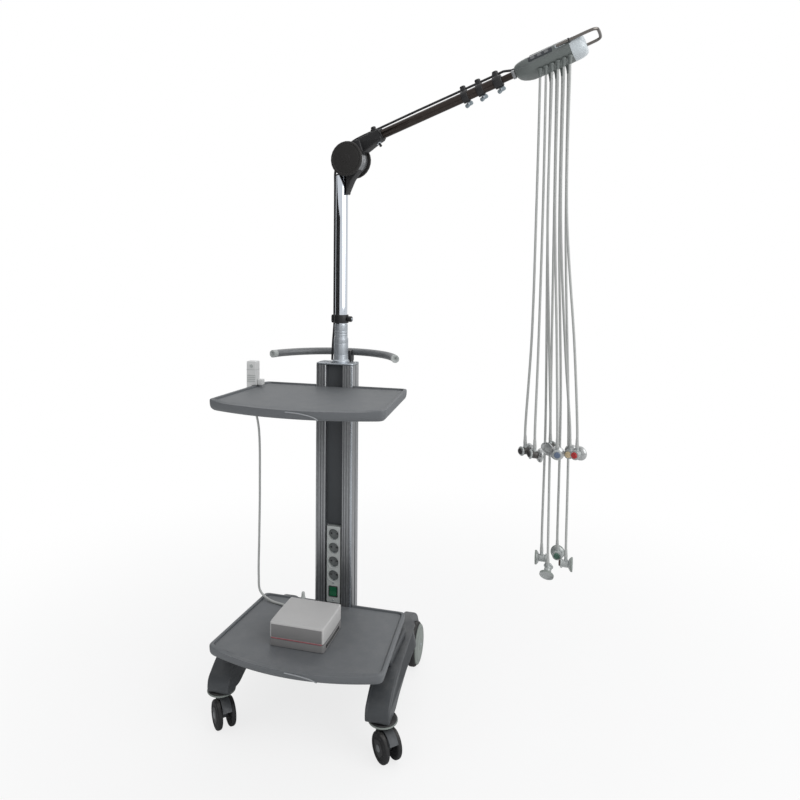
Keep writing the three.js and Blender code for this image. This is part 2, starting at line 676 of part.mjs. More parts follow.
// The clip holds the air hose on the arm's far side of the mast and has its screw opposite.
const mastHoseX = -(MAST_R + AIR_HOSE_R + 2);
function mastClip() {
  const half = CLIP_WIDTH;
  const ring = rod([0, 0, MAST_CLIP_Z - half], [0, 0, MAST_CLIP_Z + half], MAST_R + 4, 28);
  const holder = block(
    [mastHoseX - 7, -8, MAST_CLIP_Z - half], [-MAST_R, 8, MAST_CLIP_Z + half],
  );
  const knob = rod([MAST_R, 0, MAST_CLIP_Z], [MAST_R + 19, 0, MAST_CLIP_Z], 9);
  const tube = rod([0, 0, COLLAR_TOP - 20], [0, 0, MAST_CLIP_Z + 40], MAST_R + GAP, 28);
  const hose = rod(
    [mastHoseX, 0, MAST_CLIP_Z - 40], [mastHoseX, 0, MAST_CLIP_Z + 40], AIR_HOSE_R + GAP, 12,
  );
  return cut(join(ring, holder, knob), tube, hose);
}
put(swivel, 'mast_clip', mastClip(), 'black');

// ---------------------------------------------------------------- elbow, mast side
// The drum is fixed to the mast by a gusset; the arm's two discs clamp against its ends.
const drum = rod(
  [ELBOW_OFFSET, -DRUM_HALF, ELBOW_Z], [ELBOW_OFFSET, DRUM_HALF, ELBOW_Z], DRUM_R, 40,
);
put(swivel, 'elbow_hub', drum, 'alloy');
function elbowBracket() {
  const side = MAST_R + GAP;
  const gusset = across([
    [side, ELBOW_Z - 108], [side + 22, ELBOW_Z - 62], [ELBOW_OFFSET + 34, ELBOW_Z - 34],
    [ELBOW_OFFSET, ELBOW_Z - 20], [side - 12, ELBOW_Z - 30], [side - 24, mastTop + 6],
    [side - 24, mastTop + GAP], [side, mastTop + GAP],
  ], 15);
  const plug = rod([0, 0, mastTop + GAP], [0, 0, mastTop + 4], MAST_R, 28);
  const room = rod(
    [ELBOW_OFFSET, -40, ELBOW_Z], [ELBOW_OFFSET, 40, ELBOW_Z], DRUM_R + GAP, 40,
  );
  const tube = rod([0, 0, ELBOW_Z - 150], [0, 0, mastTop + GAP], MAST_R + GAP, 28);
  return cut(join(gusset, plug), room, tube);
}
put(swivel, 'elbow_bracket', elbowBracket(), 'black');

// The air hose climbs the mast and wraps over the drum as far as the arm's own stretch.
const wrapR = DRUM_R + AIR_HOSE_R + 1.2;
const onDrum = (degrees) => [
  ELBOW_OFFSET + wrapR * Math.cos(rad(degrees)), 0, ELBOW_Z + wrapR * Math.sin(rad(degrees)),
];
const MAST_HOSE_ROUTE = [
  [-SLEEVE_R - 8.5, 0, capTop + 4], [-SLEEVE_R - 8, 0, capTop + 24],
  [-SLEEVE_R - 6, 0, SLEEVE_TOP - 10], [mastHoseX, 0, MAST_CLIP_Z - 18],
  [mastHoseX, 0, MAST_CLIP_Z + 18], [mastHoseX, 0, ELBOW_Z - 297], [mastHoseX, 0, ELBOW_Z - 77],
  [mastHoseX, 0, ELBOW_Z - 37], onDrum(178), onDrum(155), onDrum(130), onDrum(106),
];
const mastHoseSteps = Math.ceil((ELBOW_Z - capTop) / 16);
put(swivel, 'air_hose_mast', sweep(MAST_HOSE_ROUTE, AIR_HOSE_R, 8, mastHoseSteps), 'black');

// ---------------------------------------------------------------- elbow and arm, arm side
// Here the origin is the hinge, X is u, along the arm, and Z is w.
const arm = new THREE.Group();
arm.position.set(ELBOW_OFFSET, 0, ELBOW_Z);
arm.rotation.y = -rad(ARM_RISE);
swivel.add(arm);

const discNear = DRUM_HALF + GAP;
function elbowDisc(side) {
  const disc = turned([
    [0, 0], [DISC_R - 1, 0], [DISC_R, 2], [DISC_R, DISC_THICK - 3],
    [DISC_R - 4, DISC_THICK], [0, DISC_THICK],
  ], 28);
  return disc.rotate([side * -90, 0, 0]).translate([0, side * discNear, 0]);
}
put(arm, 'elbow_disc_front', elbowDisc(-1), 'black');
put(arm, 'elbow_disc_rear', elbowDisc(1), 'black');

const clipRoom = (low, high) => rod([low, 0, HOSE_W], [high, 0, HOSE_W], AIR_HOSE_R + GAP, 12);
const BLOCK_END = ARM_START + 62;
function armBlock() {
  const shape = across([
    [14, ARM_W + 2], [14, DRUM_R + 1.5], [ARM_START, HOSE_W - 5.5], [BLOCK_END, HOSE_W - 4.8],
    [BLOCK_END, ARM_W - 17], [BLOCK_END - 18, ARM_W - 20], [DRUM_R + 18, 2], [DRUM_R + 2, 0],
  ].reverse(), 17);
  const ears = across([
    [20, DRUM_R - 16], [20, DRUM_R + 2], [DRUM_R + 12, DRUM_R + 2], [DRUM_R + 12, 4], [DRUM_R, 4],
  ].reverse(), DRUM_HALF);
  const tower = block([BLOCK_END - 30, -8, HOSE_W - 7], [BLOCK_END - 12, 8, HOSE_W + 10]);
  const lever = rod([BLOCK_END - 18, 0, ARM_W - 20], [BLOCK_END - 14, 0, ARM_W - 31], 4);
  const drumRoom = rod([0, -40, 0], [0, 40, 0], DRUM_R + 0.6, 40);
  const tubeRoom = rod([ARM_START - GAP, 0, ARM_W], [BLOCK_END + 1, 0, ARM_W], ARM_R + GAP, 24);
  return cut(
    join(shape, ears, tower, lever), drumRoom, tubeRoom, clipRoom(BLOCK_END - 42, BLOCK_END + 8),
  );
}
put(arm, 'arm_block', armBlock(), 'black');

const tubeOuter = rod([ARM_START, 0, ARM_W], [ARM_END, 0, ARM_W], ARM_R, 24);
const tubeInner = rod([ARM_START + 4, 0, ARM_W], [ARM_END + 1, 0, ARM_W], ARM_BORE_R, 24);
put(arm, 'arm_tube', cut(tubeOuter, tubeInner), 'chrome');

// A hose clip: a band on the tube, a tower that the air hose passes through, a screw below.
function hoseClip(place) {
  const low = place - CLIP_WIDTH / 2;
  const high = place + CLIP_WIDTH / 2;
  const band = rod([low, 0, ARM_W], [high, 0, ARM_W], CLIP_R, 24);
  const tower = block([low, -7.5, ARM_W + 10], [high, 7.5, HOSE_W + 9]);
  const screw = rod([place, 0, ARM_W - 12], [place + 5, 0, ARM_W - 29], 3.6, 12);
  const room = rod([low - 1, 0, ARM_W], [high + 1, 0, ARM_W], ARM_R + GAP, 24);
  return cut(join(band, tower, screw), room, clipRoom(low - 1, high + 1));
}
put(arm, 'arm_clip_inner', hoseClip(CLIP_PLACES[0]), 'black');
put(arm, 'arm_clip_outer', hoseClip(CLIP_PLACES[1]), 'black');

// The collar closes the arm tube's end, guides the boom and carries the last hose clip.
const COLLAR_LOW = ARM_END - 16;
const COLLAR_HIGH = ARM_END + 6;
function armCollar() {
  const band = rod([COLLAR_LOW, 0, ARM_W], [COLLAR_HIGH, 0, ARM_W], CLIP_R, 24);
  const tower = block([COLLAR_LOW, -7.5, ARM_W + 10], [COLLAR_LOW + 14, 7.5, HOSE_W + 9]);
  const screw = rod([COLLAR_LOW + 8, 0, ARM_W - 12], [COLLAR_LOW + 14, 0, ARM_W - 29], 3.6, 12);
  const room = rod([COLLAR_LOW - 1, 0, ARM_W], [ARM_END + GAP, 0, ARM_W], ARM_R + GAP, 24);
  const guide = rod([COLLAR_LOW, 0, ARM_W], [COLLAR_HIGH + 1, 0, ARM_W], BOOM_R + GAP, 24);
  const hose = clipRoom(COLLAR_LOW - 1, COLLAR_LOW + 15);
  return cut(join(band, tower, screw), room, guide, hose);
}
put(arm, 'arm_collar', armCollar(), 'black');

const neckW = HOSE_W - 7.5;
const ARM_HOSE_ROUTE = [
  [8, 0, DRUM_R + 4.8], [30, 0, DRUM_R + 9.2], [ARM_START, 0, HOSE_W],
  [BLOCK_END - 32, 0, HOSE_W], [BLOCK_END - 7, 0, HOSE_W],
  [250, 0, HOSE_W + 0.6], [CLIP_PLACES[0] - 8, 0, HOSE_W], [CLIP_PLACES[0] + 8, 0, HOSE_W],
  [CLIP_PLACES[1] - 8, 0, HOSE_W], [CLIP_PLACES[1] + 8, 0, HOSE_W],
  [COLLAR_LOW - 8, 0, HOSE_W], [COLLAR_HIGH + 2, 0, HOSE_W], [COLLAR_HIGH + 9, 0, HOSE_W],
  [HEAD_START - 9, 0, neckW + 0.5], [HEAD_START - 0.6, 0, neckW],
];
put(arm, 'air_hose_arm', sweep(ARM_HOSE_ROUTE, AIR_HOSE_R, 8, 32), 'black');

// ---------------------------------------------------------------- boom and electrode head
put(arm, 'boom_tube', rod([BOOM_START, 0, ARM_W], [HEAD_START - GAP, 0, ARM_W], BOOM_R, 20), 'alloy');

// A rounded section of the head, square to the arm, as a ring of points.
function headRing(u, half, low, high) {
  const middle = (low + high) / 2;
  const tall = (high - low) / 2;
  const ring = [];
  for (let i = 0; i < HEAD_SIDES; i += 1) {
    const angle = (2 * Math.PI * i) / HEAD_SIDES;
    const c = Math.cos(angle);
    const s = Math.sin(angle);
    const y = half * Math.sign(c) * Math.abs(c) ** 0.55;
    const w = middle + tall * Math.sign(s) * Math.abs(s) ** 0.65;
    ring.push(V3(u, y, w));
  }
  return ring;
}

// An outlet nub points straight down, whatever the arm's rise.
const down = [-Math.sin(rad(ARM_RISE)), 0, -Math.cos(rad(ARM_RISE))];
const outlets = [];
for (let i = 0; i < 6; i += 1) {
  outlets.push([FIRST_OUTLET_U + i * OUTLET_PITCH, -OUTLET_HALF, OUTLET_W]);
}
for (let i = 0; i < 4; i += 1) {
  outlets.push([FIRST_OUTLET_U + (i + 1) * OUTLET_PITCH, OUTLET_HALF, OUTLET_W]);
}
const outletNub = ([u, y, w]) => rod(
  [u - OUTLET_LENGTH * down[0], y, w - OUTLET_LENGTH * down[2]], [u, y, w], OUTLET_R, 10,
);

const gripHalf = HEAD_HALF + GRIP_R - 1;
const gripW = HEAD_HIGH - 13;
const GRIP_ROOT = 676;
function headGrip(radius, sides) {
  return sweep([
    [GRIP_ROOT, -gripHalf, gripW], [GRIP_ROOT + 40, -gripHalf, gripW],
    [GRIP_REACH - 12, -gripHalf, gripW], [GRIP_REACH - 2, -gripHalf + 8, gripW],
    [GRIP_REACH, -gripHalf + 22, gripW], [GRIP_REACH, gripHalf - 22, gripW],
    [GRIP_REACH - 2, gripHalf - 8, gripW], [GRIP_REACH - 12, gripHalf, gripW],
    [GRIP_ROOT + 40, gripHalf, gripW], [GRIP_ROOT, gripHalf, gripW],
  ], radius, sides, 28);
}
const gripRoom = headGrip(GRIP_R + GAP, 8);
const shell = loft([
  headRing(HEAD_START, 21, HEAD_LOW + 16, HEAD_HIGH - 5),
  headRing(HEAD_START + 14, 32, HEAD_LOW + 7, HEAD_HIGH - 1),
  headRing(HEAD_START + 40, HEAD_HALF - 1, HEAD_LOW, HEAD_HIGH),
  headRing(HEAD_SPLIT, HEAD_HALF, HEAD_LOW, HEAD_HIGH + 2),
]);
put(arm, 'head_shell', cut(join(shell, ...outlets.map(outletNub)), gripRoom), 'head');
const endCap = loft([
  headRing(HEAD_SPLIT + GAP, HEAD_HALF, HEAD_LOW, HEAD_HIGH + 2),
  headRing(HEAD_SPLIT + 26, HEAD_HALF - 2, HEAD_LOW + 2, HEAD_HIGH),
  headRing(HEAD_END - 8, HEAD_HALF - 9, HEAD_LOW + 7, HEAD_HIGH - 5),
  headRing(HEAD_END, HEAD_HALF - 20, HEAD_LOW + 14, HEAD_HIGH - 12),
]);
put(arm, 'head_end_cap', cut(endCap, gripRoom), 'light');
put(arm, 'head_grip', headGrip(GRIP_R, 8), 'steel');

// ---------------------------------------------------------------- hanging leads
// This frame keeps the arm's plan direction but stays upright, with its origin at the hinge.
const hanging = new THREE.Group();
hanging.position.set(ELBOW_OFFSET, 0, ELBOW_Z);
swivel.add(hanging);

// Each electrode: place of its body, [s, y, z] from the hinge; the way its cup faces as degrees
// about Z and its dip below level; and points of its hose between the outlet and the stub.
const LEADS = [
  { name: 'chest_1', at: [562, -52, -826], face: 48, dip: 0, via: [[581, -36, -150], [574, -42, -520]] },
  { name: 'chest_2', at: [591, -66, -830], face: 30, dip: 8, via: [[598, -36, -180], [594, -52, -560]] },
  { name: 'chest_3', at: [622, -12, -818], face: 250, dip: 10, via: [[611, -36, -200], [617, -28, -500]] },
  { name: 'chest_4', at: [650, -66, -822], face: 100, dip: 4, via: [[630, -36, -170], [642, -50, -520]] },
  { name: 'chest_5', at: [676, -24, -826], face: 82, dip: -4, via: [[645, -34, -190], [662, -29, -560]] },
  { name: 'chest_6', at: [700, -60, -818], face: 70, dip: 0, via: [[661, -36, -180], [688, -48, -540]] },
  { name: 'limb_1', at: [596, 22, -1142], face: 188, dip: 0, via: [[598, 33, -240], [600, 32, -760]] },
  { name: 'limb_2', at: [619, -8, -1160], face: 268, dip: 34, via: [[615, 33, -260], [616, 16, -820]] },
  { name: 'limb_3', at: [636, 38, -1130], face: 95, dip: 0, via: [[630, 34, -230], [640, 36, -700]] },
  { name: 'limb_4', at: [664, 12, -1142], face: 5, dip: 0, via: [[648, 33, -250], [664, 26, -780]] },
];

// The body is turned about Z with the cup's mouth at the top, then laid on its side.
function electrode({ at, face, dip }) {
  const body = turned([
    [0, -19], [6, -19], [7, -17], [7, -13], [BODY_R, -12], [BODY_R, 7], [13, 9], [CUP_R, 14],
    [CUP_R, 18], [CUP_R - 2, 18], [CUP_R - 6, 15.5], [0, 15.5],
  ], 12);
  const laid = body.rotate([0, 90 + dip, face]);
  const stub = rod([0, 0, 4], [0, 0, STUB_TOP], STUB_R, 8);
  return join(laid, stub).translate(at);
}

// From arm coordinates to this upright frame.
function fromArm([u, y, w]) {
  const a = rad(ARM_RISE);
  return [u * Math.cos(a) - w * Math.sin(a), y, u * Math.sin(a) + w * Math.cos(a)];
}

LEADS.forEach((lead, i) => {
  const [s, y, z] = fromArm(outlets[i]);
  const [es, ey, ez] = lead.at;
  const stubTop = ez + STUB_TOP + GAP;
  const route = [
    [s, y, z - GAP], [s, y, z - 30], ...lead.via, [es, ey, stubTop + 40], [es, ey, stubTop],
  ];
  put(hanging, `${lead.name}_hose`, sweep(route, LEAD_R, 8, 16), 'hose', true);
  put(hanging, `${lead.name}_electrode`, electrode(lead), 'electrode');
});

// ---------------------------------------------------------------- origin
cart.updateMatrixWorld(true);
const bounds = new THREE.Box3();
cart.traverse((node) => {
  if (node.isMesh && !cordNames.includes(node.name)) bounds.expandByObject(node, true);
});
const centre = bounds.getCenter(V3(0, 0, 0));
cart.position.set(-centre.x, -centre.y, -bounds.min.z);
cart.updateMatrixWorld(true);

export default cart;
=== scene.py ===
import math

import bmesh
import bpy
import numpy as np
from bpy.props import FloatProperty, FloatVectorProperty, IntProperty, PointerProperty
from bpy.types import Operator, Panel, PropertyGroup
from mathutils import Matrix, Vector


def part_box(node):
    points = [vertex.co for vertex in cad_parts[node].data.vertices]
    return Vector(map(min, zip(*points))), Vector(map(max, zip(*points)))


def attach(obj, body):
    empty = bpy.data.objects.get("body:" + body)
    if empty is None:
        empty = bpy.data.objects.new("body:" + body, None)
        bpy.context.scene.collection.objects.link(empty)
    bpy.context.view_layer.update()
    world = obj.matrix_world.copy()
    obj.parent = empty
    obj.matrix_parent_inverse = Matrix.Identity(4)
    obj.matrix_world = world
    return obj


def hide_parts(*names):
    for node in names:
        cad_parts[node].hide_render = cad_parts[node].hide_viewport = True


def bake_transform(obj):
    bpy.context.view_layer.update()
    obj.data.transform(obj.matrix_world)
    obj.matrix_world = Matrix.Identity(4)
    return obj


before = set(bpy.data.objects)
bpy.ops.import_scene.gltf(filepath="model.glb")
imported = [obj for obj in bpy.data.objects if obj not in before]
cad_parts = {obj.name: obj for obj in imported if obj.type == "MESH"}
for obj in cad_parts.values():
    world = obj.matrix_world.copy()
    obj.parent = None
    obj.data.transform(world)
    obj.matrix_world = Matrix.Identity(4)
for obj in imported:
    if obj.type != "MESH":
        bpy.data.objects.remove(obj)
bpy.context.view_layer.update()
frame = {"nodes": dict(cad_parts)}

bl_info = {
    "name": "Electrode Trolley",
    "version": (1, 0, 0),
    "blender": (4, 5, 0),
    "location": "3D View > Sidebar > Trolley",
    "description": "Builds a two-tray trolley with a swivelling arm and hanging suction electrodes",
    "category": "Add Mesh",
}

# ------------------------------------------------------------------ frames
# Sizes are in millimetres in the cart's own frame: the column's axis at x = 0, y = 0, the front
# at -Y and the floor at z = 0. A frame is a rotation and a shift that lead to the cart's frame.
MM = 0.001
COLUMN_REAR_Y = 20.0
column_low, column_high = (np.array(corner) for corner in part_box("column_profile"))
CART_ORIGIN = np.array([
    (column_low[0] + column_high[0]) / 2, column_high[1] - COLUMN_REAR_Y * MM, 0.0,
])


def turning(axis, degrees):
    """The 3 by 3 rotation about a main axis."""
    return np.array(Matrix.Rotation(math.radians(degrees), 3, axis))


ARM_AZIMUTH = -9.0
ARM_RISE = 18.5
HINGE = np.array([31.0, 0.0, 1617.0])
MAST_AXIS = np.array([6.0, 0.0, 0.0])
CART = (np.eye(3), np.zeros(3))
SWIVEL = (turning("Z", ARM_AZIMUTH), MAST_AXIS)
HANGING = (SWIVEL[0], SWIVEL[0] @ HINGE + MAST_AXIS)
ARM = (SWIVEL[0] @ turning("Y", -ARM_RISE), HANGING[1])


def placed(points, where=CART):
    """Millimetres in a frame to metres in the row frame: rotate, shift, scale, add the origin."""
    rotation, shift = where
    return CART_ORIGIN + MM * (np.asarray(points, float) @ rotation.T + shift)


CASTER_X, CASTER_Y, CASTER_HEADING = 236.0, -312.0, -45.0


def caster_frame(side):
    """A caster's own frame: its swivel axis is Z, and its wheels trail along +X."""
    return (turning("Z", CASTER_HEADING), np.array([side * CASTER_X, CASTER_Y, 0.0]))


# ------------------------------------------------------------------ surfaces
# A shell is (points, quads, caps): an n by 3 array, an m by 4 index array and a list of index
# arrays for faces with more corners.
def skin(rings, caps=(True, True), closed=False):
    """Quads between rings of equally many points; closed joins the last ring to the first."""
    rings = np.asarray(rings, float)
    rows, count, _ = rings.shape
    row = np.arange(rows if closed else rows - 1)[:, None]
    i = np.arange(count)[None]
    j = (i + 1) % count
    above = (row + 1) % rows
    quads = np.stack(np.broadcast_arrays(
        row * count + i, row * count + j, above * count + j, above * count + i,
    ), -1).reshape(-1, 4)
    ends = []
    if caps[0] and not closed:
        ends.append(np.arange(count)[::-1])
    if caps[1] and not closed:
        ends.append(np.arange((rows - 1) * count, rows * count))
    return rings.reshape(-1, 3), quads, ends


def outward(shell):
    """Turns a closed shell round if the sum of its faces' signed volumes is negative."""
    points, quads, caps = shell
    triangles = [quads[:, [0, 1, 2]], quads[:, [0, 2, 3]]]
    triangles += [np.stack(np.broadcast_arrays(c[0], c[1:-1], c[2:]), -1) for c in caps]
    a, b, c = (points[np.concatenate(triangles)[:, k]] for k in range(3))
    if np.einsum("ij,ij->i", a, np.cross(b, c)).sum() < 0:
        return points, quads[:, ::-1], [cap[::-1] for cap in caps]
    return shell


def moved(shell, by):
    """Shifts a shell."""
    return shell[0] + np.asarray(by, float), shell[1], shell[2]


def relaid(shell, order):
    """Swaps a shell's axes: order says which old axis each new one takes."""
    return shell[0][:, list(order)], shell[1], shell[2]


def mirrored(shell):
    """A shell's mirror image across X; outward() turns its faces round later."""
    return shell[0] * np.array([-1.0, 1.0, 1.0]), shell[1], shell[2]


def aimed(shell, direction, at=(0, 0, 0)):
    """Turns a shell's +Z to a direction and moves its origin to a point."""
    z = np.asarray(direction, float)
    z = z / np.linalg.norm(z)
    helper = np.array([0.0, 0.0, 1.0]) if abs(z[2]) < 0.9 else np.array([0.0, 1.0, 0.0])
    x = np.cross(helper, z)
    x = x / np.linalg.norm(x)
    return shell[0] @ np.array([x, np.cross(z, x), z]) + np.asarray(at, float), shell[1], shell[2]


def softened(points, radius, steps=4, closed=True):
    """Each corner becomes a parabola from radius before it to radius after it."""
    p = np.asarray(points, float)
    before, after = np.roll(p, 1, 0) - p, np.roll(p, -1, 0) - p
    reach = np.stack([np.linalg.norm(before, axis=1), np.linalg.norm(after, axis=1)])
    cut = np.minimum(np.broadcast_to(radius, len(p)), 0.48 * reach.min(0))[:, None, None]
    t = np.linspace(0, 1, steps)[None, :, None]
    arc = p[:, None] + (before / reach[0][:, None])[:, None] * cut * (1 - t) ** 2
    arc = arc + (after / reach[1][:, None])[:, None] * cut * t ** 2
    if closed:
        return arc.reshape(-1, p.shape[1])
    return np.concatenate([p[:1], arc[1:-1].reshape(-1, p.shape[1]), p[-1:]])


def inset(outline, distance):
    """Moves a counter-clockwise outline inwards by distance, along its mitred normals."""
    edge = np.roll(outline, -1, 0) - outline
    normal = np.stack([-edge[:, 1], edge[:, 0]], -1)
    normal = normal / np.maximum(np.linalg.norm(normal, axis=1), 1e-9)[:, None]
    before = np.roll(normal, 1, 0)
    mitre = (before + normal) / np.maximum(1 + (before * normal).sum(1), 0.4)[:, None]
    return outline + distance * mitre


def slab(outline, low, high, rounded=2.0, steps=4):
    """An outline carried from low to high, its two rims rounded by quarter circles."""
    outline = np.asarray(outline, float)
    x, y = outline.T
    if (x * np.roll(y, -1) - np.roll(x, -1) * y).sum() < 0:
        outline = outline[::-1]
    turn = np.linspace(0, math.pi / 2, steps)
    inward = rounded * (1 - np.sin(turn))
    rise = rounded * (1 - np.cos(turn))
    heights = np.concatenate([low + rise, (high - rise)[::-1]])
    inward = np.concatenate([inward, inward[::-1]])
    rings = [np.column_stack([inset(outline, d), np.full(len(outline), z)])
             for d, z in zip(inward, heights)]
    return skin(rings)


def rectangle(x0, y0, x1, y1, radius, steps=5):
    """A rectangle's outline with softened corners."""
    return softened([[x0, y0], [x1, y0], [x1, y1], [x0, y1]], radius, steps)


def rounded_box(low, high, radius=3.0, rim=None):
    """A box whose upright edges and two rims are rounded."""
    outline = rectangle(low[0], low[1], high[0], high[1], radius)
    return slab(outline, low[2], high[2], radius * 0.7 if rim is None else rim)


def sideways(outline, low, high, rounded, steps=4):
    """An outline in Y and Z carried along X."""
    return relaid(slab(outline, low, high, rounded, steps), (2, 0, 1))


def across(outline, half, rounded, steps=4):
    """An outline in X and Z carried along Y to both sides."""
    return relaid(slab(outline, -half, half, rounded, steps), (0, 2, 1))


def turned(profile, sides=48, ripple=(0, 0.0), soft=0.0):
    """[radius, height] pairs turned about Z; ripple is how many flutes and how deep."""
    profile = np.asarray(profile, float)
    if soft:
        profile = softened(profile, soft, 4, closed=False)
    angle = np.linspace(0, 2 * math.pi, sides, endpoint=False)
    flute = 1 - ripple[1] * (0.5 - 0.5 * np.cos(ripple[0] * angle))
    r = profile[:, :1] * flute[None]
    rings = np.stack([r * np.cos(angle), r * np.sin(angle), profile[:, 1:] + 0 * r], -1)
    return skin(rings, (profile[0, 0] > 1e-6, profile[-1, 0] > 1e-6))


def hoop(profile, sides=48):
    """A closed [radius, height] loop turned about Z, such as a band with an open middle."""
    profile = np.asarray(profile, float)
    angle = np.linspace(0, 2 * math.pi, sides, endpoint=False)
    r = profile[:, :1] + 0 * angle[None]
    rings = np.stack([r * np.cos(angle), r * np.sin(angle), profile[:, 1:] + 0 * r], -1)
    return skin(rings, closed=True)


def band(inner, outer, low, high, soft=1.0):
    """A ring of rectangular section with softened edges."""
    loop = softened([[inner, low], [outer, low], [outer, high], [inner, high]], soft, 4)
    return hoop(loop)


def window_frame(outline, sections):
    """A frame whose section is a closed loop of (distance inwards, height) pairs."""
    outline = np.asarray(outline, float)
    rings = [np.column_stack([inset(outline, d), np.full(len(outline), z)]) for d, z in sections]
    return skin(rings, closed=True)


def smooth_route(points, step=4.0):
    """A centripetal Catmull-Rom curve through the points, sampled at even steps of its length."""
    p = np.asarray(points, float)
    ends = np.concatenate([[2 * p[0] - p[1]], p, [2 * p[-1] - p[-2]]])
    knots = np.linalg.norm(np.diff(ends, axis=0), axis=1) ** 0.5
    t = np.linspace(0, 1, 33)[None, :, None]
    d0, d1, d2 = (knots[k:len(p) - 1 + k, None, None] for k in range(3))
    p0, p1, p2, p3 = (ends[k:len(p) - 1 + k, None] for k in range(4))
    leave = ((p1 - p0) / d0 - (p2 - p0) / (d0 + d1) + (p2 - p1) / d1) * d1
    arrive = ((p2 - p1) / d1 - (p3 - p1) / (d1 + d2) + (p3 - p2) / d2) * d1
    curve = p1 + leave * t + (3 * (p2 - p1) - 2 * leave - arrive) * t ** 2
    curve = curve + (2 * (p1 - p2) + leave + arrive) * t ** 3
    curve = np.concatenate([curve[:, :-1].reshape(-1, 3), p[-1:]])
    run = np.concatenate([[0], np.cumsum(np.linalg.norm(np.diff(curve, axis=0), axis=1))])
    count = max(8, int(run[-1] / step) + 1)
    even = np.linspace(0, run[-1], count)
    return np.stack([np.interp(even, run, curve[:, k]) for k in range(3)], -1)


def tube(route, radius, sides=14, reference=(0.0, 1.0, 0.0), rounded=False):
    """Circles square to a route, started from a fixed reference direction; radius may vary."""
    route = np.asarray(route, float)
    along = np.gradient(route, axis=0)
    along = along / np.linalg.norm(along, axis=1)[:, None]
    reference = np.asarray(reference, float)
    first = reference - (along @ reference)[:, None] * along
    first = first / np.linalg.norm(first, axis=1)[:, None]
    second = np.cross(along, first)
    r = np.broadcast_to(radius, len(route)).astype(float)
    if rounded:
        bend = np.array([0.0, 0.5, 0.85, 1.0])
        sink = r[0] * (1 - np.sqrt(1 - (1 - bend) ** 2)) * 0.9
        start = route[0] + along[0] * sink[:, None]
        finish = route[-1] - along[-1] * sink[::-1, None]
        route = np.concatenate([start, route[2:-2], finish])
        first, second = (
            np.concatenate([np.repeat(side[:1], 4, 0), side[2:-2], np.repeat(side[-1:], 4, 0)])
            for side in (first, second)
        )
        r = np.concatenate([r[0] * bend, r[2:-2], r[-1] * bend[::-1]])
    angle = np.linspace(0, 2 * math.pi, sides, endpoint=False)[None, :, None]
    rings = route[:, None] + r[:, None, None] * (
        np.cos(angle) * first[:, None] + np.sin(angle) * second[:, None]
    )
    return skin(rings, (r[0] > 1e-6, r[-1] > 1e-6))


# ------------------------------------------------------------------ pieces
SHARP_ANGLE = 38.0
WELD_DISTANCE = 2e-7


def mesh_from(name, parts, where=CART):
    """One mesh from parts, smooth but for sharp edges. A part is a shell and its material or
    the name of its finish."""
    points, faces, materials, slots, offset = [], [], [], [], 0
    for shell, material in parts:
        shell = outward((placed(shell[0], where), shell[1], shell[2]))
        if isinstance(material, str):
            material = finish(material)
        if material not in materials:
            materials.append(material)
        index = materials.index(material)
        faces += (shell[1] + offset).tolist() + [(cap + offset).tolist() for cap in shell[2]]
        slots += [index] * (len(shell[1]) + len(shell[2]))
        points.append(shell[0])
        offset += len(shell[0])
    mesh = bpy.data.meshes.new(name)
    mesh.from_pydata(np.concatenate(points).tolist(), [], faces)
    for material in materials:
        if material is not None:
            mesh.materials.append(material)
    mesh.polygons.foreach_set("material_index", np.array(slots, np.int32))
    clean = bmesh.new()
    clean.from_mesh(mesh)
    bmesh.ops.remove_doubles(clean, verts=clean.verts, dist=WELD_DISTANCE)
    clean.to_mesh(mesh)
    clean.free()
    mesh.polygons.foreach_set("use_smooth", np.ones(len(mesh.polygons), bool))
    mesh.set_sharp_from_angle(angle=math.radians(SHARP_ANGLE))
    mesh.update()
    return mesh


def piece(name, parts, body=None, stands_for=(), slot=None, where=CART):
    """A finished object at the origin that rides on a body and stands for its CAD nodes."""
    obj = bpy.data.objects.new(name, mesh_from(name, parts, where))
    bpy.context.scene.collection.objects.link(obj)
    if body:
        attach(obj, body)
    if stands_for:
        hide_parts(*stands_for)
    return obj


def carved(name, parts, cutters, **details):
    """A piece whose mesh has other shells cut out of it."""
    obj = piece(name, parts, **details)
    cutting = [(shell, None) for shell in cutters]
    tool = bpy.data.objects.new(name + "_cutter", mesh_from(name + "_cutter", cutting))
    bpy.context.scene.collection.objects.link(tool)
    modifier = obj.modifiers.new("Cut", "BOOLEAN")
    modifier.operation = "DIFFERENCE"
    modifier.solver = "EXACT"
    modifier.use_self = True
    modifier.object = tool
    bpy.context.view_layer.update()
    evaluated = obj.evaluated_get(bpy.context.evaluated_depsgraph_get())
    mesh = bpy.data.meshes.new_from_object(evaluated)
    obj.modifiers.clear()
    obj.data = mesh
    bpy.data.objects.remove(tool)
    mesh.set_sharp_from_angle(angle=math.radians(SHARP_ANGLE))
    if not mesh.polygons:
        raise RuntimeError(f"{name}: nothing is left after the cut")
    return obj


# ------------------------------------------------------------------ finishes
def shared_group(name, inputs, outputs):
    """A shader node group with named sockets; returns its tree, input node and output node."""
    tree = bpy.data.node_groups.new(name, "ShaderNodeTree")
    for label, kind, value in inputs:
        socket = tree.interface.new_socket(label, in_out="INPUT", socket_type="NodeSocket" + kind)
        if value is not None:
            socket.default_value = value
    for label, kind in outputs:
        tree.interface.new_socket(label, in_out="OUTPUT", socket_type="NodeSocket" + kind)
    return tree, tree.nodes.new("NodeGroupInput"), tree.nodes.new("NodeGroupOutput")


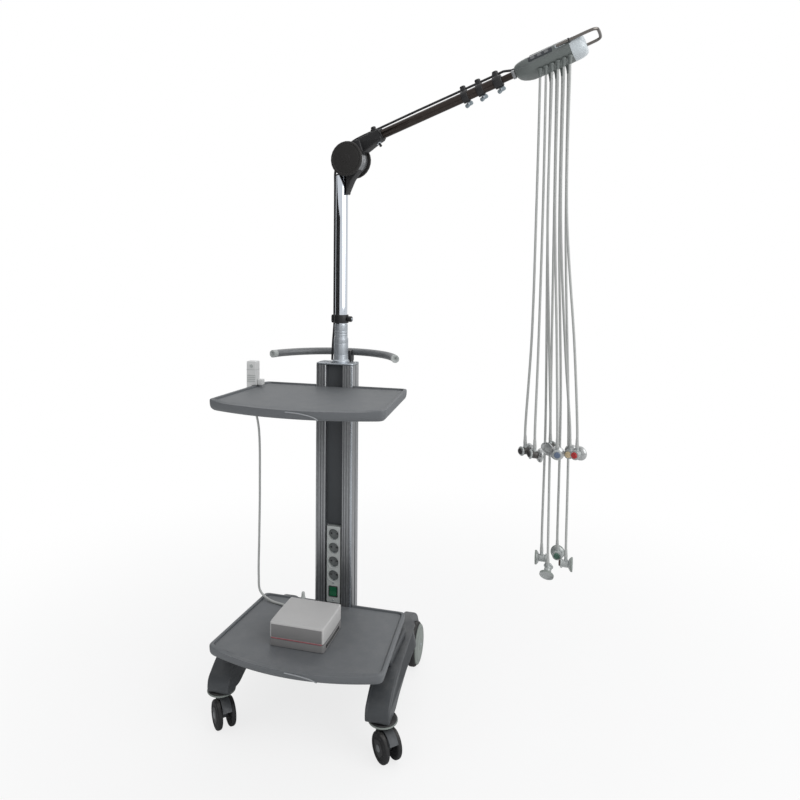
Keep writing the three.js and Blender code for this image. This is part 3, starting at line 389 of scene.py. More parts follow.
def math_node(tree, operation, first, second):
    """One sum on values or sockets."""
    node = tree.nodes.new("ShaderNodeMath")
    node.operation = operation
    for socket, value in zip(node.inputs, (first, second)):
        if isinstance(value, (int, float)):
            socket.default_value = value
        else:
            tree.links.new(value, socket)
    return node.outputs[0]


def colour_mix(tree, factor, first, second, blend="MIX"):
    """Two colours mixed by a factor."""
    node = tree.nodes.new("ShaderNodeMix")
    node.data_type = "RGBA"
    node.blend_type = blend
    sockets = (node.inputs[0], node.inputs[6], node.inputs[7])
    for socket, value in zip(sockets, (factor, first, second)):
        if isinstance(value, (int, float, tuple)):
            socket.default_value = value
        else:
            tree.links.new(value, socket)
    return node.outputs[2]


def noise_node(tree, vector, scale, detail=3.0, roughness=0.55):
    """Fractal noise between 0 and 1."""
    node = tree.nodes.new("ShaderNodeTexNoise")
    node.inputs["Detail"].default_value = detail
    node.inputs["Roughness"].default_value = roughness
    tree.links.new(vector, node.inputs["Vector"])
    if isinstance(scale, (int, float)):
        node.inputs["Scale"].default_value = scale
    else:
        tree.links.new(scale, node.inputs["Scale"])
    return node.outputs[0]


def ranged(tree, value, low, high, to_low=0.0, to_high=1.0):
    """A value eased from one range to another."""
    node = tree.nodes.new("ShaderNodeMapRange")
    node.interpolation_type = "SMOOTHSTEP"
    tree.links.new(value, node.inputs[0])
    for k, number in enumerate((low, high, to_low, to_high)):
        node.inputs[1 + k].default_value = number
    return node.outputs[0]


def build_groups():
    """Four effects that the finishes share: grain, mottle, dust and edge wear, and brushing."""
    tree, given, result = shared_group(
        "Moulded grain", [("Vector", "Vector", None), ("Scale", "Float", 900.0)],
        [("Height", "Float")],
    )
    fine = noise_node(tree, given.outputs[0], given.outputs[1], 2.0)
    cells = tree.nodes.new("ShaderNodeTexVoronoi")
    tree.links.new(given.outputs[0], cells.inputs["Vector"])
    tree.links.new(math_node(tree, "MULTIPLY", given.outputs[1], 0.6), cells.inputs["Scale"])
    both = math_node(tree, "ADD", math_node(tree, "MULTIPLY", cells.outputs[0], 0.7), fine)
    tree.links.new(both, result.inputs[0])

    tree, given, result = shared_group(
        "Mottle",
        [("Vector", "Vector", None), ("Colour", "Color", (0.5, 0.5, 0.5, 1)),
         ("Scale", "Float", 20.0), ("Amount", "Float", 0.1), ("Roughness", "Float", 0.5)],
        [("Colour", "Color"), ("Roughness", "Float")],
    )
    broad = noise_node(tree, given.outputs[0], given.outputs[2], 4.0)
    swing = math_node(tree, "MULTIPLY", math_node(tree, "SUBTRACT", broad, 0.5), given.outputs[3])
    shade = math_node(tree, "ADD", math_node(tree, "MULTIPLY", swing, 2.0), 1.0)
    grey = tree.nodes.new("ShaderNodeCombineColor")
    for socket in grey.inputs:
        tree.links.new(shade, socket)
    shaded = colour_mix(tree, 1.0, given.outputs[1], grey.outputs[0], "MULTIPLY")
    tree.links.new(shaded, result.inputs[0])
    rough = math_node(tree, "ADD", given.outputs[4], math_node(tree, "MULTIPLY", swing, 0.9))
    tree.links.new(rough, result.inputs[1])

    tree, given, result = shared_group(
        "Dust film",
        [("Vector", "Vector", None), ("Colour", "Color", (0.5, 0.5, 0.5, 1)),
         ("Roughness", "Float", 0.5), ("Amount", "Float", 0.2)],
        [("Colour", "Color"), ("Roughness", "Float")],
    )
    geometry = tree.nodes.new("ShaderNodeNewGeometry")
    parts = tree.nodes.new("ShaderNodeSeparateXYZ")
    tree.links.new(geometry.outputs["Normal"], parts.inputs[0])
    upward = ranged(tree, parts.outputs[2], 0.55, 1.0)
    patchy = ranged(tree, noise_node(tree, given.outputs[0], 26.0, 6.0, 0.7), 0.35, 0.75)
    settled = math_node(tree, "MULTIPLY", upward, patchy)
    mask = math_node(tree, "MULTIPLY", settled, given.outputs[3])
    dusty = colour_mix(tree, mask, given.outputs[1], (0.42, 0.41, 0.39, 1))
    tree.links.new(dusty, result.inputs[0])
    tree.links.new(math_node(tree, "ADD", given.outputs[2], math_node(tree, "MULTIPLY", mask, 0.3)),
                   result.inputs[1])

    tree, given, result = shared_group(
        "Edge wear",
        [("Vector", "Vector", None), ("Colour", "Color", (0.5, 0.5, 0.5, 1)),
         ("Worn", "Color", (0.7, 0.7, 0.7, 1)), ("Amount", "Float", 0.3)],
        [("Colour", "Color"), ("Mask", "Float")],
    )
    geometry = tree.nodes.new("ShaderNodeNewGeometry")
    edges = ranged(tree, geometry.outputs["Pointiness"], 0.52, 0.6)
    broken = ranged(tree, noise_node(tree, given.outputs[0], 110.0, 5.0, 0.7), 0.42, 0.68)
    mask = math_node(tree, "MULTIPLY", math_node(tree, "MULTIPLY", edges, broken), given.outputs[3])
    tree.links.new(colour_mix(tree, mask, given.outputs[1], given.outputs[2]), result.inputs[0])
    tree.links.new(mask, result.inputs[1])

    tree, given, result = shared_group(
        "Brushed lines", [("Vector", "Vector", None), ("Scale", "Float", 300.0)],
        [("Height", "Float")],
    )
    stretched = tree.nodes.new("ShaderNodeMapping")
    stretched.inputs["Scale"].default_value = (1.0, 1.0, 0.02)
    tree.links.new(given.outputs[0], stretched.inputs[0])
    tree.links.new(noise_node(tree, stretched.outputs[0], given.outputs[1], 2.0), result.inputs[0])


def use_group(tree, name, **values):
    """A shared group, with sockets linked and plain values set by name."""
    node = tree.nodes.new("ShaderNodeGroup")
    node.node_tree = bpy.data.node_groups[name]
    for label, value in values.items():
        socket = node.inputs[label]
        if isinstance(value, bpy.types.NodeSocket):
            tree.links.new(value, socket)
        elif isinstance(value, tuple) and len(value) == 3:
            socket.default_value = (*value, 1)
        else:
            socket.default_value = value
    return node


def linear(red, green, blue):
    """Display levels out of 255 as linear light, by the usual 2.4 power with its straight foot."""
    level = np.array([red, green, blue]) / 255
    return tuple(float(v) for v in np.where(level < 0.04045, level / 12.92,
                                            ((level + 0.055) / 1.055) ** 2.4))


# name: colour property, roughness, metallic, mottle scale and amount, dust, wear, grain scale
# and height in metres, and whether the grain is brushed.
FINISHES = {
    "tray": ("tray", 0.52, 0.0, 9, 0.035, 0.10, 0.25, 1500, 0.00004, False),
    # Front line: a raised arc on the moulded edge, lighter grey as a painted highlight along that
    # edge.
    "line": ("line", 0.35, 0.0, 20, 0.04, 0.05, 0.1, 1500, 0.00002, False),
    "disc": ("disc", 0.55, 0.0, 18, 0.08, 0.08, 0.35, 1500, 0.00001, False),
    "wing": ("wing", 0.28, 0.5, 40, 0.08, 0.05, 0.2, 900, 0.00001, False),
    # Finish of the grip rod: steel darkened and browned, a painted reflection of dark surroundings.
    "grip": ("grip", 0.2, 1.0, 40, 0.08, 0.0, 0.1, 600, 0.00001, True),
    "frame": ("frame", 0.46, 0.1, 12, 0.05, 0.12, 0.35, 1100, 0.00005, False),
    "handle": ("handle", 0.42, 0.2, 24, 0.08, 0.15, 0.35, 1300, 0.00003, False),
    "pale": ("pale", 0.55, 0.0, 40, 0.08, 0.10, 0.2, 900, 0.00004, False),
    "black": ("black", 0.42, 0.0, 30, 0.18, 0.14, 0.35, 1200, 0.00004, False),
    "tyre": ("tyre", 0.68, 0.0, 60, 0.22, 0.3, 0.4, 700, 0.00007, False),
    "alloy": ("alloy", 0.34, 0.8, 30, 0.03, 0.05, 0.2, 900, 0.000006, True),
    # Channel: a dark insert in the column's recess, partly painted shade of the recess.
    "channel": ("channel", 0.5, 0.3, 20, 0.10, 0.05, 0.1, 900, 0.00003, True),
    "chrome": ("chrome", 0.07, 1.0, 12, 0.015, 0.0, 0.0, 300, 0.0000006, True),
    # Finish of the arm and boom tubes: chrome coloured dark brown, a painted reflection of the dark
    # surroundings they mirror.
    "smoked": ("smoked", 0.2, 0.9, 12, 0.10, 0.0, 0.1, 500, 0.000001, True),
    "satin": ("steel", 0.34, 0.7, 40, 0.02, 0.0, 0.05, 600, 0.0000002, False),
    "steel": ("steel", 0.27, 0.9, 40, 0.04, 0.0, 0.1, 600, 0.0000004, True),
    "socket": ("socket", 0.45, 0.0, 30, 0.05, 0.06, 0.1, 1300, 0.00003, False),
    # Socket recess floors: darker grey than the panel, painted shade inside each recess.
    "well": ("well", 0.5, 0.0, 30, 0.12, 0.05, 0.2, 1300, 0.00003, False),
    "pump_top": ("pump_top", 0.5, 0.0, 16, 0.04, 0.10, 0.1, 1600, 0.00006, False),
    # Pump front: a darker copy of the cover plastic, painted shade on the lid's front; the lower
    # band takes the same grey.
    "pump_front": ("pump_front", 0.5, 0.0, 16, 0.06, 0.05, 0.1, 1600, 0.00006, False),
    "red": ("red", 0.4, 0.0, 30, 0.06, 0.02, 0.1, 900, 0.00002, False),
    "hose": ("hose", 0.5, 0.0, 60, 0.10, 0.0, 0.0, 1500, 0.00004, False),
    "air_hose": ("air_hose", 0.4, 0.0, 60, 0.15, 0.1, 0.1, 1500, 0.00003, False),
    "head": ("head", 0.42, 0.0, 22, 0.06, 0.08, 0.15, 1500, 0.00003, False),
    "screen": ("screen", 0.16, 0.0, 22, 0.15, 0.1, 0.0, 900, 0.000006, False),
    "end_cap": ("end_cap", 0.3, 0.0, 22, 0.04, 0.04, 0.05, 1500, 0.00002, False),
    "connector": ("connector", 0.4, 0.0, 30, 0.04, 0.05, 0.1, 1300, 0.00003, False),
    "electrode": ("electrode", 0.26, 0.25, 60, 0.12, 0.05, 0.15, 1300, 0.00003, False),
    "dark_electrode": ("dark_electrode", 0.36, 0.1, 60, 0.12, 0.05, 0.15, 1300, 0.00003, False),
    "cup": ("cup", 0.3, 0.8, 60, 0.12, 0.0, 0.15, 900, 0.00002, False),
    "rocker": ("rocker", 0.25, 0.0, 60, 0.1, 0.0, 0.0, 900, 0.00001, False),
}
for tip in ("tip_black", "tip_brown", "tip_blue", "tip_yellow", "tip_red", "tip_green"):
    FINISHES[tip] = (tip, 0.35, 0.0, 60, 0.1, 0.0, 0.1, 900, 0.00002, False)
# finish: its clear coat's weight and roughness
COATS = {"end_cap": (0.4, 0.1), "screen": (0.4, 0.1), "rocker": (0.5, 0.03)}


def finish_material(name, colours):
    """A Principled material: mottled colour and roughness, then wear, dust and a fine bump."""
    key, rough, metal, scale, amount, dust, wear, grain, height, brushed = FINISHES[name]
    base = tuple(getattr(colours, key))
    material = bpy.data.materials.new("finish_" + name)
    material.use_nodes = True
    tree = material.node_tree
    shader = tree.nodes["Principled BSDF"]
    shader.inputs["Metallic"].default_value = metal
    place = tree.nodes.new("ShaderNodeTexCoord").outputs["Object"]
    mottle = use_group(tree, "Mottle", Vector=place, Colour=base, Scale=float(scale),
                       Amount=amount, Roughness=rough)
    worn = tuple(min(1.0, 0.15 + 1.5 * c) for c in base)
    edges = use_group(tree, "Edge wear", Vector=place, Colour=mottle.outputs[0], Worn=worn,
                      Amount=wear)
    film = use_group(tree, "Dust film", Vector=place, Colour=edges.outputs[0],
                     Roughness=mottle.outputs[1], Amount=dust)
    tree.links.new(film.outputs[0], shader.inputs["Base Color"])
    tree.links.new(film.outputs[1], shader.inputs["Roughness"])
    group = "Brushed lines" if brushed else "Moulded grain"
    lines = use_group(tree, group, Vector=place, Scale=float(grain))
    bump = tree.nodes.new("ShaderNodeBump")
    bump.inputs["Distance"].default_value = height
    tree.links.new(lines.outputs[0], bump.inputs["Height"])
    tree.links.new(bump.outputs[0], shader.inputs["Normal"])
    weight, smoothness = COATS.get(name, (0.0, 0.03))
    shader.inputs["Coat Weight"].default_value = weight
    shader.inputs["Coat Roughness"].default_value = smoothness
    return material


def finish(name):
    """The named finish, made at its first use."""
    ready = bpy.data.materials.get("finish_" + name)
    return ready or finish_material(name, bpy.context.scene.trolley_colours)


# ------------------------------------------------------------------ what a user may change
def colour(label, words, levels):
    """A colour property, its default given in display levels out of 255."""
    return FloatVectorProperty(name=label, description=words, default=linear(*levels),
                               subtype="COLOR", size=3, min=0.0, max=1.0)


def length(label, words, value, low, high):
    """A size in millimetres."""
    return FloatProperty(name=label, description=words, default=value, min=low, max=high,
                         unit="NONE", precision=2)


class TROLLEY_PG_colours(PropertyGroup):
    """The colour of every finish."""

    tray: colour("Trays", "Moulded trays", (104, 107, 110))
    # Partly painted highlight: the line is the front band's moulded edge, and its lighter grey
    # paints the light it catches.
    line: colour("Front line", "Thin arc on the trays' front", (158, 161, 164))
    disc: colour("Elbow discs", "Discs at the elbow", (33, 31, 30))
    wing: colour("Wings", "Wing nubs under the hose clips", (150, 162, 168))
    # Painted reflection: the grip rod is steel; this dark brownish grey stands for the dark
    # surroundings it reflects.
    grip: colour("Grip rod", "Rod grip on the head", (122, 118, 114))
    frame: colour("Legs", "Powder-coated legs and cross-member", (66, 69, 72))
    handle: colour("Handle", "Push handle", (118, 120, 122))
    pale: colour("Pale rims", "Bumper rims, wheel hubs and handle ends", (134, 141, 136))
    black: colour("Black", "Black moulded fittings", (29, 29, 31))
    tyre: colour("Tyres", "Wheel tyres", (23, 23, 25))
    alloy: colour("Column", "Satin anodised column", (150, 152, 154))
    # Partly painted shade: the dark slab in the column's recessed channel stands in part for the
    # shade inside the recess.
    channel: colour("Channel", "Dark insert in the column", (68, 71, 74))
    chrome: colour("Mast", "Chromed mast", (214, 220, 228))
    # Painted reflection: the arm and boom tubes are chrome; this dark brown stands for the dark
    # surroundings they reflect.
    smoked: colour("Arm tube", "Dark polished arm tube", (58, 52, 49))
    steel: colour("Bright steel", "Grip, screws and knob centres", (186, 192, 198))
    socket: colour("Socket panel", "Socket panel", (178, 182, 180))
    # Painted shade: the floor of each socket recess is darker than the panel for the shade inside
    # it.
    well: colour("Socket wells", "Inside of the sockets", (104, 108, 108))
    pump_top: colour("Pump cover", "Pump cover", (198, 197, 196))
    # Painted shade: the lid's front plate is the cover's plastic made darker for the shade its
    # front lies in; the pump's lower band uses this grey too.
    pump_front: colour("Pump front", "Front panel of the pump", (128, 127, 127))
    red: colour("Pump line", "Thin line on the pump", (168, 92, 100))
    hose: colour("Lead hoses", "Electrode hoses and data cable", (178, 180, 178))
    air_hose: colour("Air hose", "Black air hose", (42, 42, 44))
    head: colour("Head", "Electrode head", (108, 114, 112))
    screen: colour("Head panel", "Dark panel on the head", (34, 40, 48))
    end_cap: colour("Head end", "Pale end of the head", (206, 214, 218))
    connector: colour("Connector", "Data connector", (216, 217, 216))
    electrode: colour("Electrode body", "Electrode bodies", (174, 178, 177))
    dark_electrode: colour("Dark body", "Bodies of the first three electrodes", (70, 68, 66))
    cup: colour("Electrode cup", "Metal suction cups", (182, 184, 184))
    tip_black: colour("Black tip", "Coloured electrode tip", (28, 27, 28))
    tip_brown: colour("Brown tip", "Coloured electrode tip", (66, 46, 38))
    tip_blue: colour("Blue tip", "Coloured electrode tip", (92, 106, 128))
    tip_yellow: colour("Yellow tip", "Coloured electrode tip", (222, 200, 160))
    tip_red: colour("Red tip", "Coloured electrode tip", (176, 38, 40))
    tip_green: colour("Green tip", "Coloured electrode tip", (70, 106, 92))
    rocker: colour("Rocker", "Green power rocker", (20, 92, 60))


class TROLLEY_PG_sizes(PropertyGroup):
    """Small sizes, in millimetres, that leave the overall shape alone."""

    rim_width: length("Rim width", "Width of the trays' raised rim, in mm", 9.0, 4.0, 14.0)
    groove: length("Rim groove", "Depth of the groove inside the rim, in mm", 1.2, 0.0, 2.5)
    leg_round: length("Leg rounding", "Radius along the legs' edges, in mm", 5.0, 2.0, 8.0)
    hose_radius: length("Hose radius", "Radius of a lead hose, in mm", 3.4, 2.5, 4.0)
    air_radius: length("Air hose radius", "Radius of the air hose, in mm", 3.5, 2.5, 4.0)
    facets: IntProperty(name="Disc facets", description="Flutes round the elbow's discs",
                        default=24, min=0, max=60)


# ------------------------------------------------------------------ stage and camera
LAMPS = (  # name, place in metres, side of the square in metres, watts
    ("key", (2.9, -1.2, 2.7), 3.4, 80.0),
    ("fill", (-2.6, -2.2, 1.7), 2.4, 15.0),
    ("top", (-0.2, 1.6, 3.6), 2.4, 20.0),
)
AIMED_AT = (0.0, 0.0, 0.95)
SURROUND_LIGHT = 0.46
SURROUND_IN_REFLECTIONS = 0.68
FLOOR_HALF, FLOOR_TOP = 9000, -0.6
FLAG_RADIUS, FLAG_FROM, FLAG_TO = 2700, -104, -205
FLAG_LOW, FLAG_HIGH = 250, 3000
CAMERA_AT = (693.5, -1998.4, 1270.9)
CAMERA_TURNS = (15.37, -1.494, 0.44)  # heading, pitch and roll in degrees
CAMERA_LENS, CAMERA_SHIFT = 30.37, (0.02, -0.1375)


class TROLLEY_OT_stage(Operator):
    """Pale floor, soft lights, a white surround and the camera"""

    bl_idname = "trolley.stage"
    bl_label = "Stage"

    def execute(self, context):
        scene = context.scene
        scene.view_settings.view_transform = "Standard"
        plan = rectangle(-FLOOR_HALF, -FLOOR_HALF, FLOOR_HALF, FLOOR_HALF, 200)
        piece("stage_floor", [(slab(plan, -40, FLOOR_TOP, 1), floor_material())])
        world = bpy.data.worlds.new("surround")
        scene.world = world
        world.use_nodes = True
        tree = world.node_tree
        plain = tree.nodes["Background"]
        plain.inputs["Color"].default_value = (0.97, 0.98, 1.0, 1)
        plain.inputs["Strength"].default_value = SURROUND_LIGHT
        seen = tree.nodes.new("ShaderNodeBackground")
        seen.inputs["Color"].default_value = (1, 1, 1, 1)
        path = tree.nodes.new("ShaderNodeLightPath")
        glossy = math_node(tree, "MULTIPLY", path.outputs["Is Glossy Ray"],
                           SURROUND_IN_REFLECTIONS)
        direct = math_node(tree, "MAXIMUM", path.outputs["Is Camera Ray"],
                           path.outputs["Is Transmission Ray"])
        factor = math_node(tree, "MAXIMUM", direct, glossy)
        mix = tree.nodes.new("ShaderNodeMixShader")
        tree.links.new(factor, mix.inputs[0])
        tree.links.new(plain.outputs[0], mix.inputs[1])
        tree.links.new(seen.outputs[0], mix.inputs[2])
        tree.links.new(mix.outputs[0], tree.nodes["World Output"].inputs[0])
        for details in LAMPS:
            lamp(*details)
        add_flag()
        add_camera(scene)
        return {"FINISHED"}


def add_flag():
    """A dark curved card on the left that only reflections see, for the mast's dark side."""
    dark = bpy.data.materials.new("flag_dark")
    dark.use_nodes = True
    shader = dark.node_tree.nodes["Principled BSDF"]
    shader.inputs["Base Color"].default_value = (0.012, 0.01, 0.009, 1)
    shader.inputs["Roughness"].default_value = 0.9
    angle = np.radians(np.linspace(FLAG_FROM, FLAG_TO, 24))
    wall = FLAG_RADIUS * np.column_stack([np.cos(angle), np.sin(angle)])
    card = slab(np.concatenate([wall, wall[::-1] * 1.01]), FLAG_LOW, FLAG_HIGH, 4)
    flag = piece("stage_flag", [(card, dark)])
    for ray in ("camera", "diffuse", "shadow", "transmission", "volume_scatter"):
        setattr(flag, "visible_" + ray, False)


def floor_material():
    """White that keeps soft shadows near the object and fades to the surround further out."""
    material = bpy.data.materials.new("floor_white")
    material.use_nodes = True
    tree = material.node_tree
    shader = tree.nodes["Principled BSDF"]
    shader.inputs["Roughness"].default_value = 0.9
    shader.inputs["Specular IOR Level"].default_value = 0.1
    place = tree.nodes.new("ShaderNodeTexCoord").outputs["Object"]
    speckle = noise_node(tree, place, 4.0, 2.0)
    tree.links.new(colour_mix(tree, speckle, (0.86, 0.86, 0.86, 1), (0.89, 0.89, 0.885, 1)),
                   shader.inputs["Base Color"])
    far = tree.nodes.new("ShaderNodeVectorMath")
    far.operation = "LENGTH"
    tree.links.new(place, far.inputs[0])
    fade = ranged(tree, far.outputs["Value"], 0.5, 2.2, 0.78, 1.0)
    path = tree.nodes.new("ShaderNodeLightPath")
    glow = tree.nodes.new("ShaderNodeEmission")
    glow.inputs["Color"].default_value = (1, 1, 1, 1)
    mix = tree.nodes.new("ShaderNodeMixShader")
    tree.links.new(math_node(tree, "MULTIPLY", fade, path.outputs["Is Camera Ray"]), mix.inputs[0])
    tree.links.new(shader.outputs[0], mix.inputs[1])
    tree.links.new(glow.outputs[0], mix.inputs[2])
    tree.links.new(mix.outputs[0], tree.nodes["Material Output"].inputs[0])
    return material


def lamp(name, at, size, watts):
    """A square area lamp that faces the middle of the object."""
    data = bpy.data.lights.new(name, "AREA")
    data.size = size
    data.energy = watts
    obj = bpy.data.objects.new(name, data)
    obj.location = at
    away = Vector(at) - Vector(AIMED_AT)
    obj.rotation_euler = away.to_track_quat("Z", "Y").to_euler()
    bpy.context.scene.collection.objects.link(obj)


def add_camera(scene):
    """Stands in front and to the right of the column, a little above the upper tray."""
    data = bpy.data.cameras.new("camera")
    data.sensor_width = 36.0
    data.lens = CAMERA_LENS
    data.shift_x, data.shift_y = CAMERA_SHIFT
    camera = bpy.data.objects.new("camera", data)
    heading, pitch, roll = (math.radians(angle) for angle in CAMERA_TURNS)
    matrix = Matrix.Translation(placed(CAMERA_AT))
    matrix = matrix @ Matrix.Rotation(heading, 4, "Z")
    matrix = matrix @ Matrix.Rotation(math.pi / 2 + pitch, 4, "X") @ Matrix.Rotation(roll, 4, "Z")
    camera.matrix_world = matrix
    scene.collection.objects.link(camera)
    scene.camera = camera


# ------------------------------------------------------------------ leads
FIRST_OUTLET_U, OUTLET_PITCH, OUTLET_Y, OUTLET_W = 615, 16.5, 34.0, -6.0
OUTLETS = [(FIRST_OUTLET_U + OUTLET_PITCH * k, -OUTLET_Y, OUTLET_W) for k in range(6)]
OUTLETS += [(FIRST_OUTLET_U + OUTLET_PITCH * k, OUTLET_Y, OUTLET_W) for k in range(1, 5)]
STUB_TOP = 19.0
# Name, the electrode's place from the hinge, the way its cup faces and its dip in degrees,
# points of its hose, and the finish of its tip.
LEADS = [
    ("chest_1", (562, -52, -826), 48, 0, ((581, -36, -150), (574, -42, -520)), "tip_black"),
    ("chest_2", (591, -66, -830), 30, 8, ((598, -36, -180), (594, -52, -560)), "tip_black"),
    ("chest_3", (622, -12, -818), 250, 10, ((611, -36, -200), (617, -28, -500)), "tip_brown"),
    ("chest_4", (650, -66, -822), 100, 4, ((630, -36, -170), (642, -50, -520)), "tip_blue"),
    ("chest_5", (676, -24, -826), 82, -4, ((645, -34, -190), (662, -29, -560)), "tip_yellow"),
    ("chest_6", (700, -60, -818), 70, 0, ((661, -36, -180), (688, -48, -540)), "tip_red"),
    ("limb_1", (596, 22, -1142), 188, 0, ((598, 33, -240), (600, 32, -760)), "tip_green"),
    ("limb_2", (619, -8, -1160), 268, 34, ((615, 33, -260), (616, 16, -820)), "tip_black"),
    ("limb_3", (636, 38, -1130), 95, 0, ((630, 34, -230), (640, 36, -700)), "tip_green"),
    ("limb_4", (664, 12, -1142), 5, 0, ((648, 33, -250), (664, 26, -780)), "tip_brown"),
]
GAP = 0.3
DARK_BODIES = ("chest_1", "chest_2", "chest_3")


def lead_route(index):
    """A lead's route, straight down out of its outlet and straight down into its electrode."""
    _, at, _, _, via, _ = LEADS[index]
    u, y, w = OUTLETS[index]
    rise = math.radians(ARM_RISE)
    s, z = u * math.cos(rise) - w * math.sin(rise), u * math.sin(rise) + w * math.cos(rise)
    top = at[2] + STUB_TOP + GAP
    return smooth_route([
        (s, y, z - GAP), (s, y, z - 30), *via, (at[0], at[1], top + 40), (at[0], at[1], top),
    ], 6.0)


class TROLLEY_OT_leads(Operator):
    """Ten suction electrodes, each on its own hanging hose"""

    bl_idname = "trolley.leads"
    bl_label = "Leads"

    def execute(self, context):
        radius = context.scene.trolley_sizes.hose_radius
        for index, (name, at, face, dip, _, tip) in enumerate(LEADS):
            electrode = self.electrode(name, at, face, dip, tip)
            route = lead_route(index)
            hose = piece(f"{name}_tube", [(tube(route, radius, 12, (0, 1, 0)), "hose")],
                         where=HANGING, stands_for=(f"{name}_hose",), slot="hose_grey")
            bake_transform(hose)
        return {"FINISHED"}

    def electrode(self, name, at, face, dip, tip):
        """Turned about its own axis: coloured tip, ribbed body, bell-shaped cup; a stub on top."""
        f, d = math.radians(face), math.radians(dip)
        towards = (math.cos(d) * math.cos(f), math.cos(d) * math.sin(f), -math.sin(d))
        cap = turned([[0, -19], [6.4, -19], [8.2, -17.6], [8.4, -14], [7.4, -12.6], [0, -12.2]],
                     32, soft=0.8)
        body = turned([[0, -12.6], [7.6, -12.6], [9.6, -11.4], [9.9, -8], [9.3, -7.4], [9.9, -6.8],
                       [9.9, -3.4], [9.3, -2.8], [9.9, -2.2], [9.9, 5.4], [8.8, 7.2], [0, 8.2]],
                      32, soft=0.5)
        bell = turned([[0, 6.6], [8.6, 6.8], [11.4, 7.6], [15.8, 10.4], [18.6, 13.8], [19, 17.2],
                       [18.2, 18], [16.8, 17.6], [14.6, 14.6], [11, 12.6], [0, 12.2]], 40, soft=0.9)
        stub = turned([[0, 4], [5.4, 6], [5.0, 12], [4.5, 13], [4.5, 18.8], [4.0, 19.0], [0, 19.0]],
                      20, soft=0.4)
        relief = turned([[0, 18.6], [4.9, 18.8], [4.7, 25], [4.4, 25.6], [4.5, 30], [4.1, 30.6],
                         [4.1, 36], [3.5, 42], [0, 42]], 20, soft=0.4)
        on_chest = name.startswith("chest")
        casing = "dark_electrode" if name in DARK_BODIES else "electrode"
        collar = turned([[0, -14.6], [9.4, -14.6], [12.4, -13.6], [13, -12], [12.6, -10.2],
                         [10, -8.8], [0, -8.6]], 36, soft=0.6)
        parts = [(aimed(cap, towards), tip), (aimed(body, towards), casing),
                 (aimed(bell, towards), "cup" if on_chest else "electrode"),
                 (aimed(collar, towards), "electrode"),
                 (stub, "electrode"), (relief, "hose")]
        if not on_chest:
            ring = hoop(softened([[18.0, 13], [19.3, 13], [19.3, 18], [18.0, 18]], 0.6, 3), 40)
            parts.append((aimed(ring, towards), "pale"))
        parts = [(moved(part, at), material) for part, material in parts]
        return piece(f"{name}_sensor", parts, "leads", (f"{name}_electrode",),
                     "electrode", HANGING)


CONNECTOR_X = -247.978
CABLE_ROUTE = [
    (-65, -152, 256), (-72, -152, 255), (-92, -140, 247), (-143, -98, 244.2), (-185, -87, 244.4),
    (-214, -77, 250.5), (-236, -69, 266), (-243, -63, 310), (-243, -60, 430), (-241, -61, 600),
    (-243, -66, 780), (-246, -92, 850), (CONNECTOR_X, -111, 880), (CONNECTOR_X, -111, 894.7),
]


class TROLLEY_OT_data_cable(Operator):
    """The data cable from the pump to the connector on the upper tray's edge"""

    bl_idname = "trolley.data_cable"
    bl_label = "Data Cable"

    def execute(self, context):
        white, shade = "connector", "socket"
        leg = slab(rectangle(-256.9, -124, -239, -98, 4), 895, 925, 1.6)
        body = slab(rectangle(-256.9, -124, -224, -98, 4), 923.4, 996, 2.4)
        seam = window_frame(rectangle(-257.3, -124.4, -223.6, -97.6, 4),
                            [(0, 970), (0, 971.2), (1.6, 971.2), (1.6, 970)])
        key = moved(aimed(turned([[0, 0], [5.4, 0], [5.4, 1], [4.8, 1.5], [0, 1.5]], 28, soft=0.3),
                          (0, -1, 0)), (-240, -123.6, 982))
        relief = turned([[0, 878], [4.2, 878], [4.6, 883], [5.2, 889], [6.6, 895.5], [0, 895.5]],
                        24, soft=0.6)
        grip = [(slab(rectangle(-254, -125.2, -227, -123.6, 0.7, 3), z, z + 2.2, 0.5, 3), shade)
                for z in (934, 940, 946, 952)]
        small = rounded_box((-223.4, -118, 923.6), (-206, -101, 941), 3)
        plug = piece("data_plug", [
            (leg, white), (body, white), (seam, shade), (key, shade), (small, white),
            (moved(relief, (CONNECTOR_X, -111, 0)), "hose"), *grip,
        ], "trolley", ("data_connector",), "pump_white")
        route = smooth_route(CABLE_ROUTE, 4.0)
        cable = piece("data_lead", [(tube(route, 3.5, 14, (0.3, 1, 0)), "hose")], "trolley",
                      ("data_cable",), "hose_grey")
        return {"FINISHED"}


# ------------------------------------------------------------------ trays
TRAY_FRONT_HALF, TRAY_REAR_HALF = 250.0, 230.0
TRAY_REAR_Y, TRAY_CORNER_Y, TRAY_BOW = -38.0, -364.0, 41.0
TRAY_THICK = 32.0
LIP_SLOPE = 3.0 / 61.0
RIM_HEIGHT = 5.0
LOWER_TOP, UPPER_TOP = 245.0, 923.0
TRAY_WALL = (  # inset and height from the top, up the outer wall from the underside
    (13, -TRAY_THICK), (10.6, -31.5), (7.6, -29.8), (4.6, -27.0), (2.4, -23.4), (1.0, -19.0),
)


def quadratic(start, middle, end, count):
    """Points of a parabola drawn to its middle point; the end is left out."""
    t = np.linspace(0, 1, count, endpoint=False)[:, None]
    start, middle, end = (np.asarray(p, float) for p in (start, middle, end))
    return (1 - t) ** 2 * start + 2 * t * (1 - t) * middle + t ** 2 * end


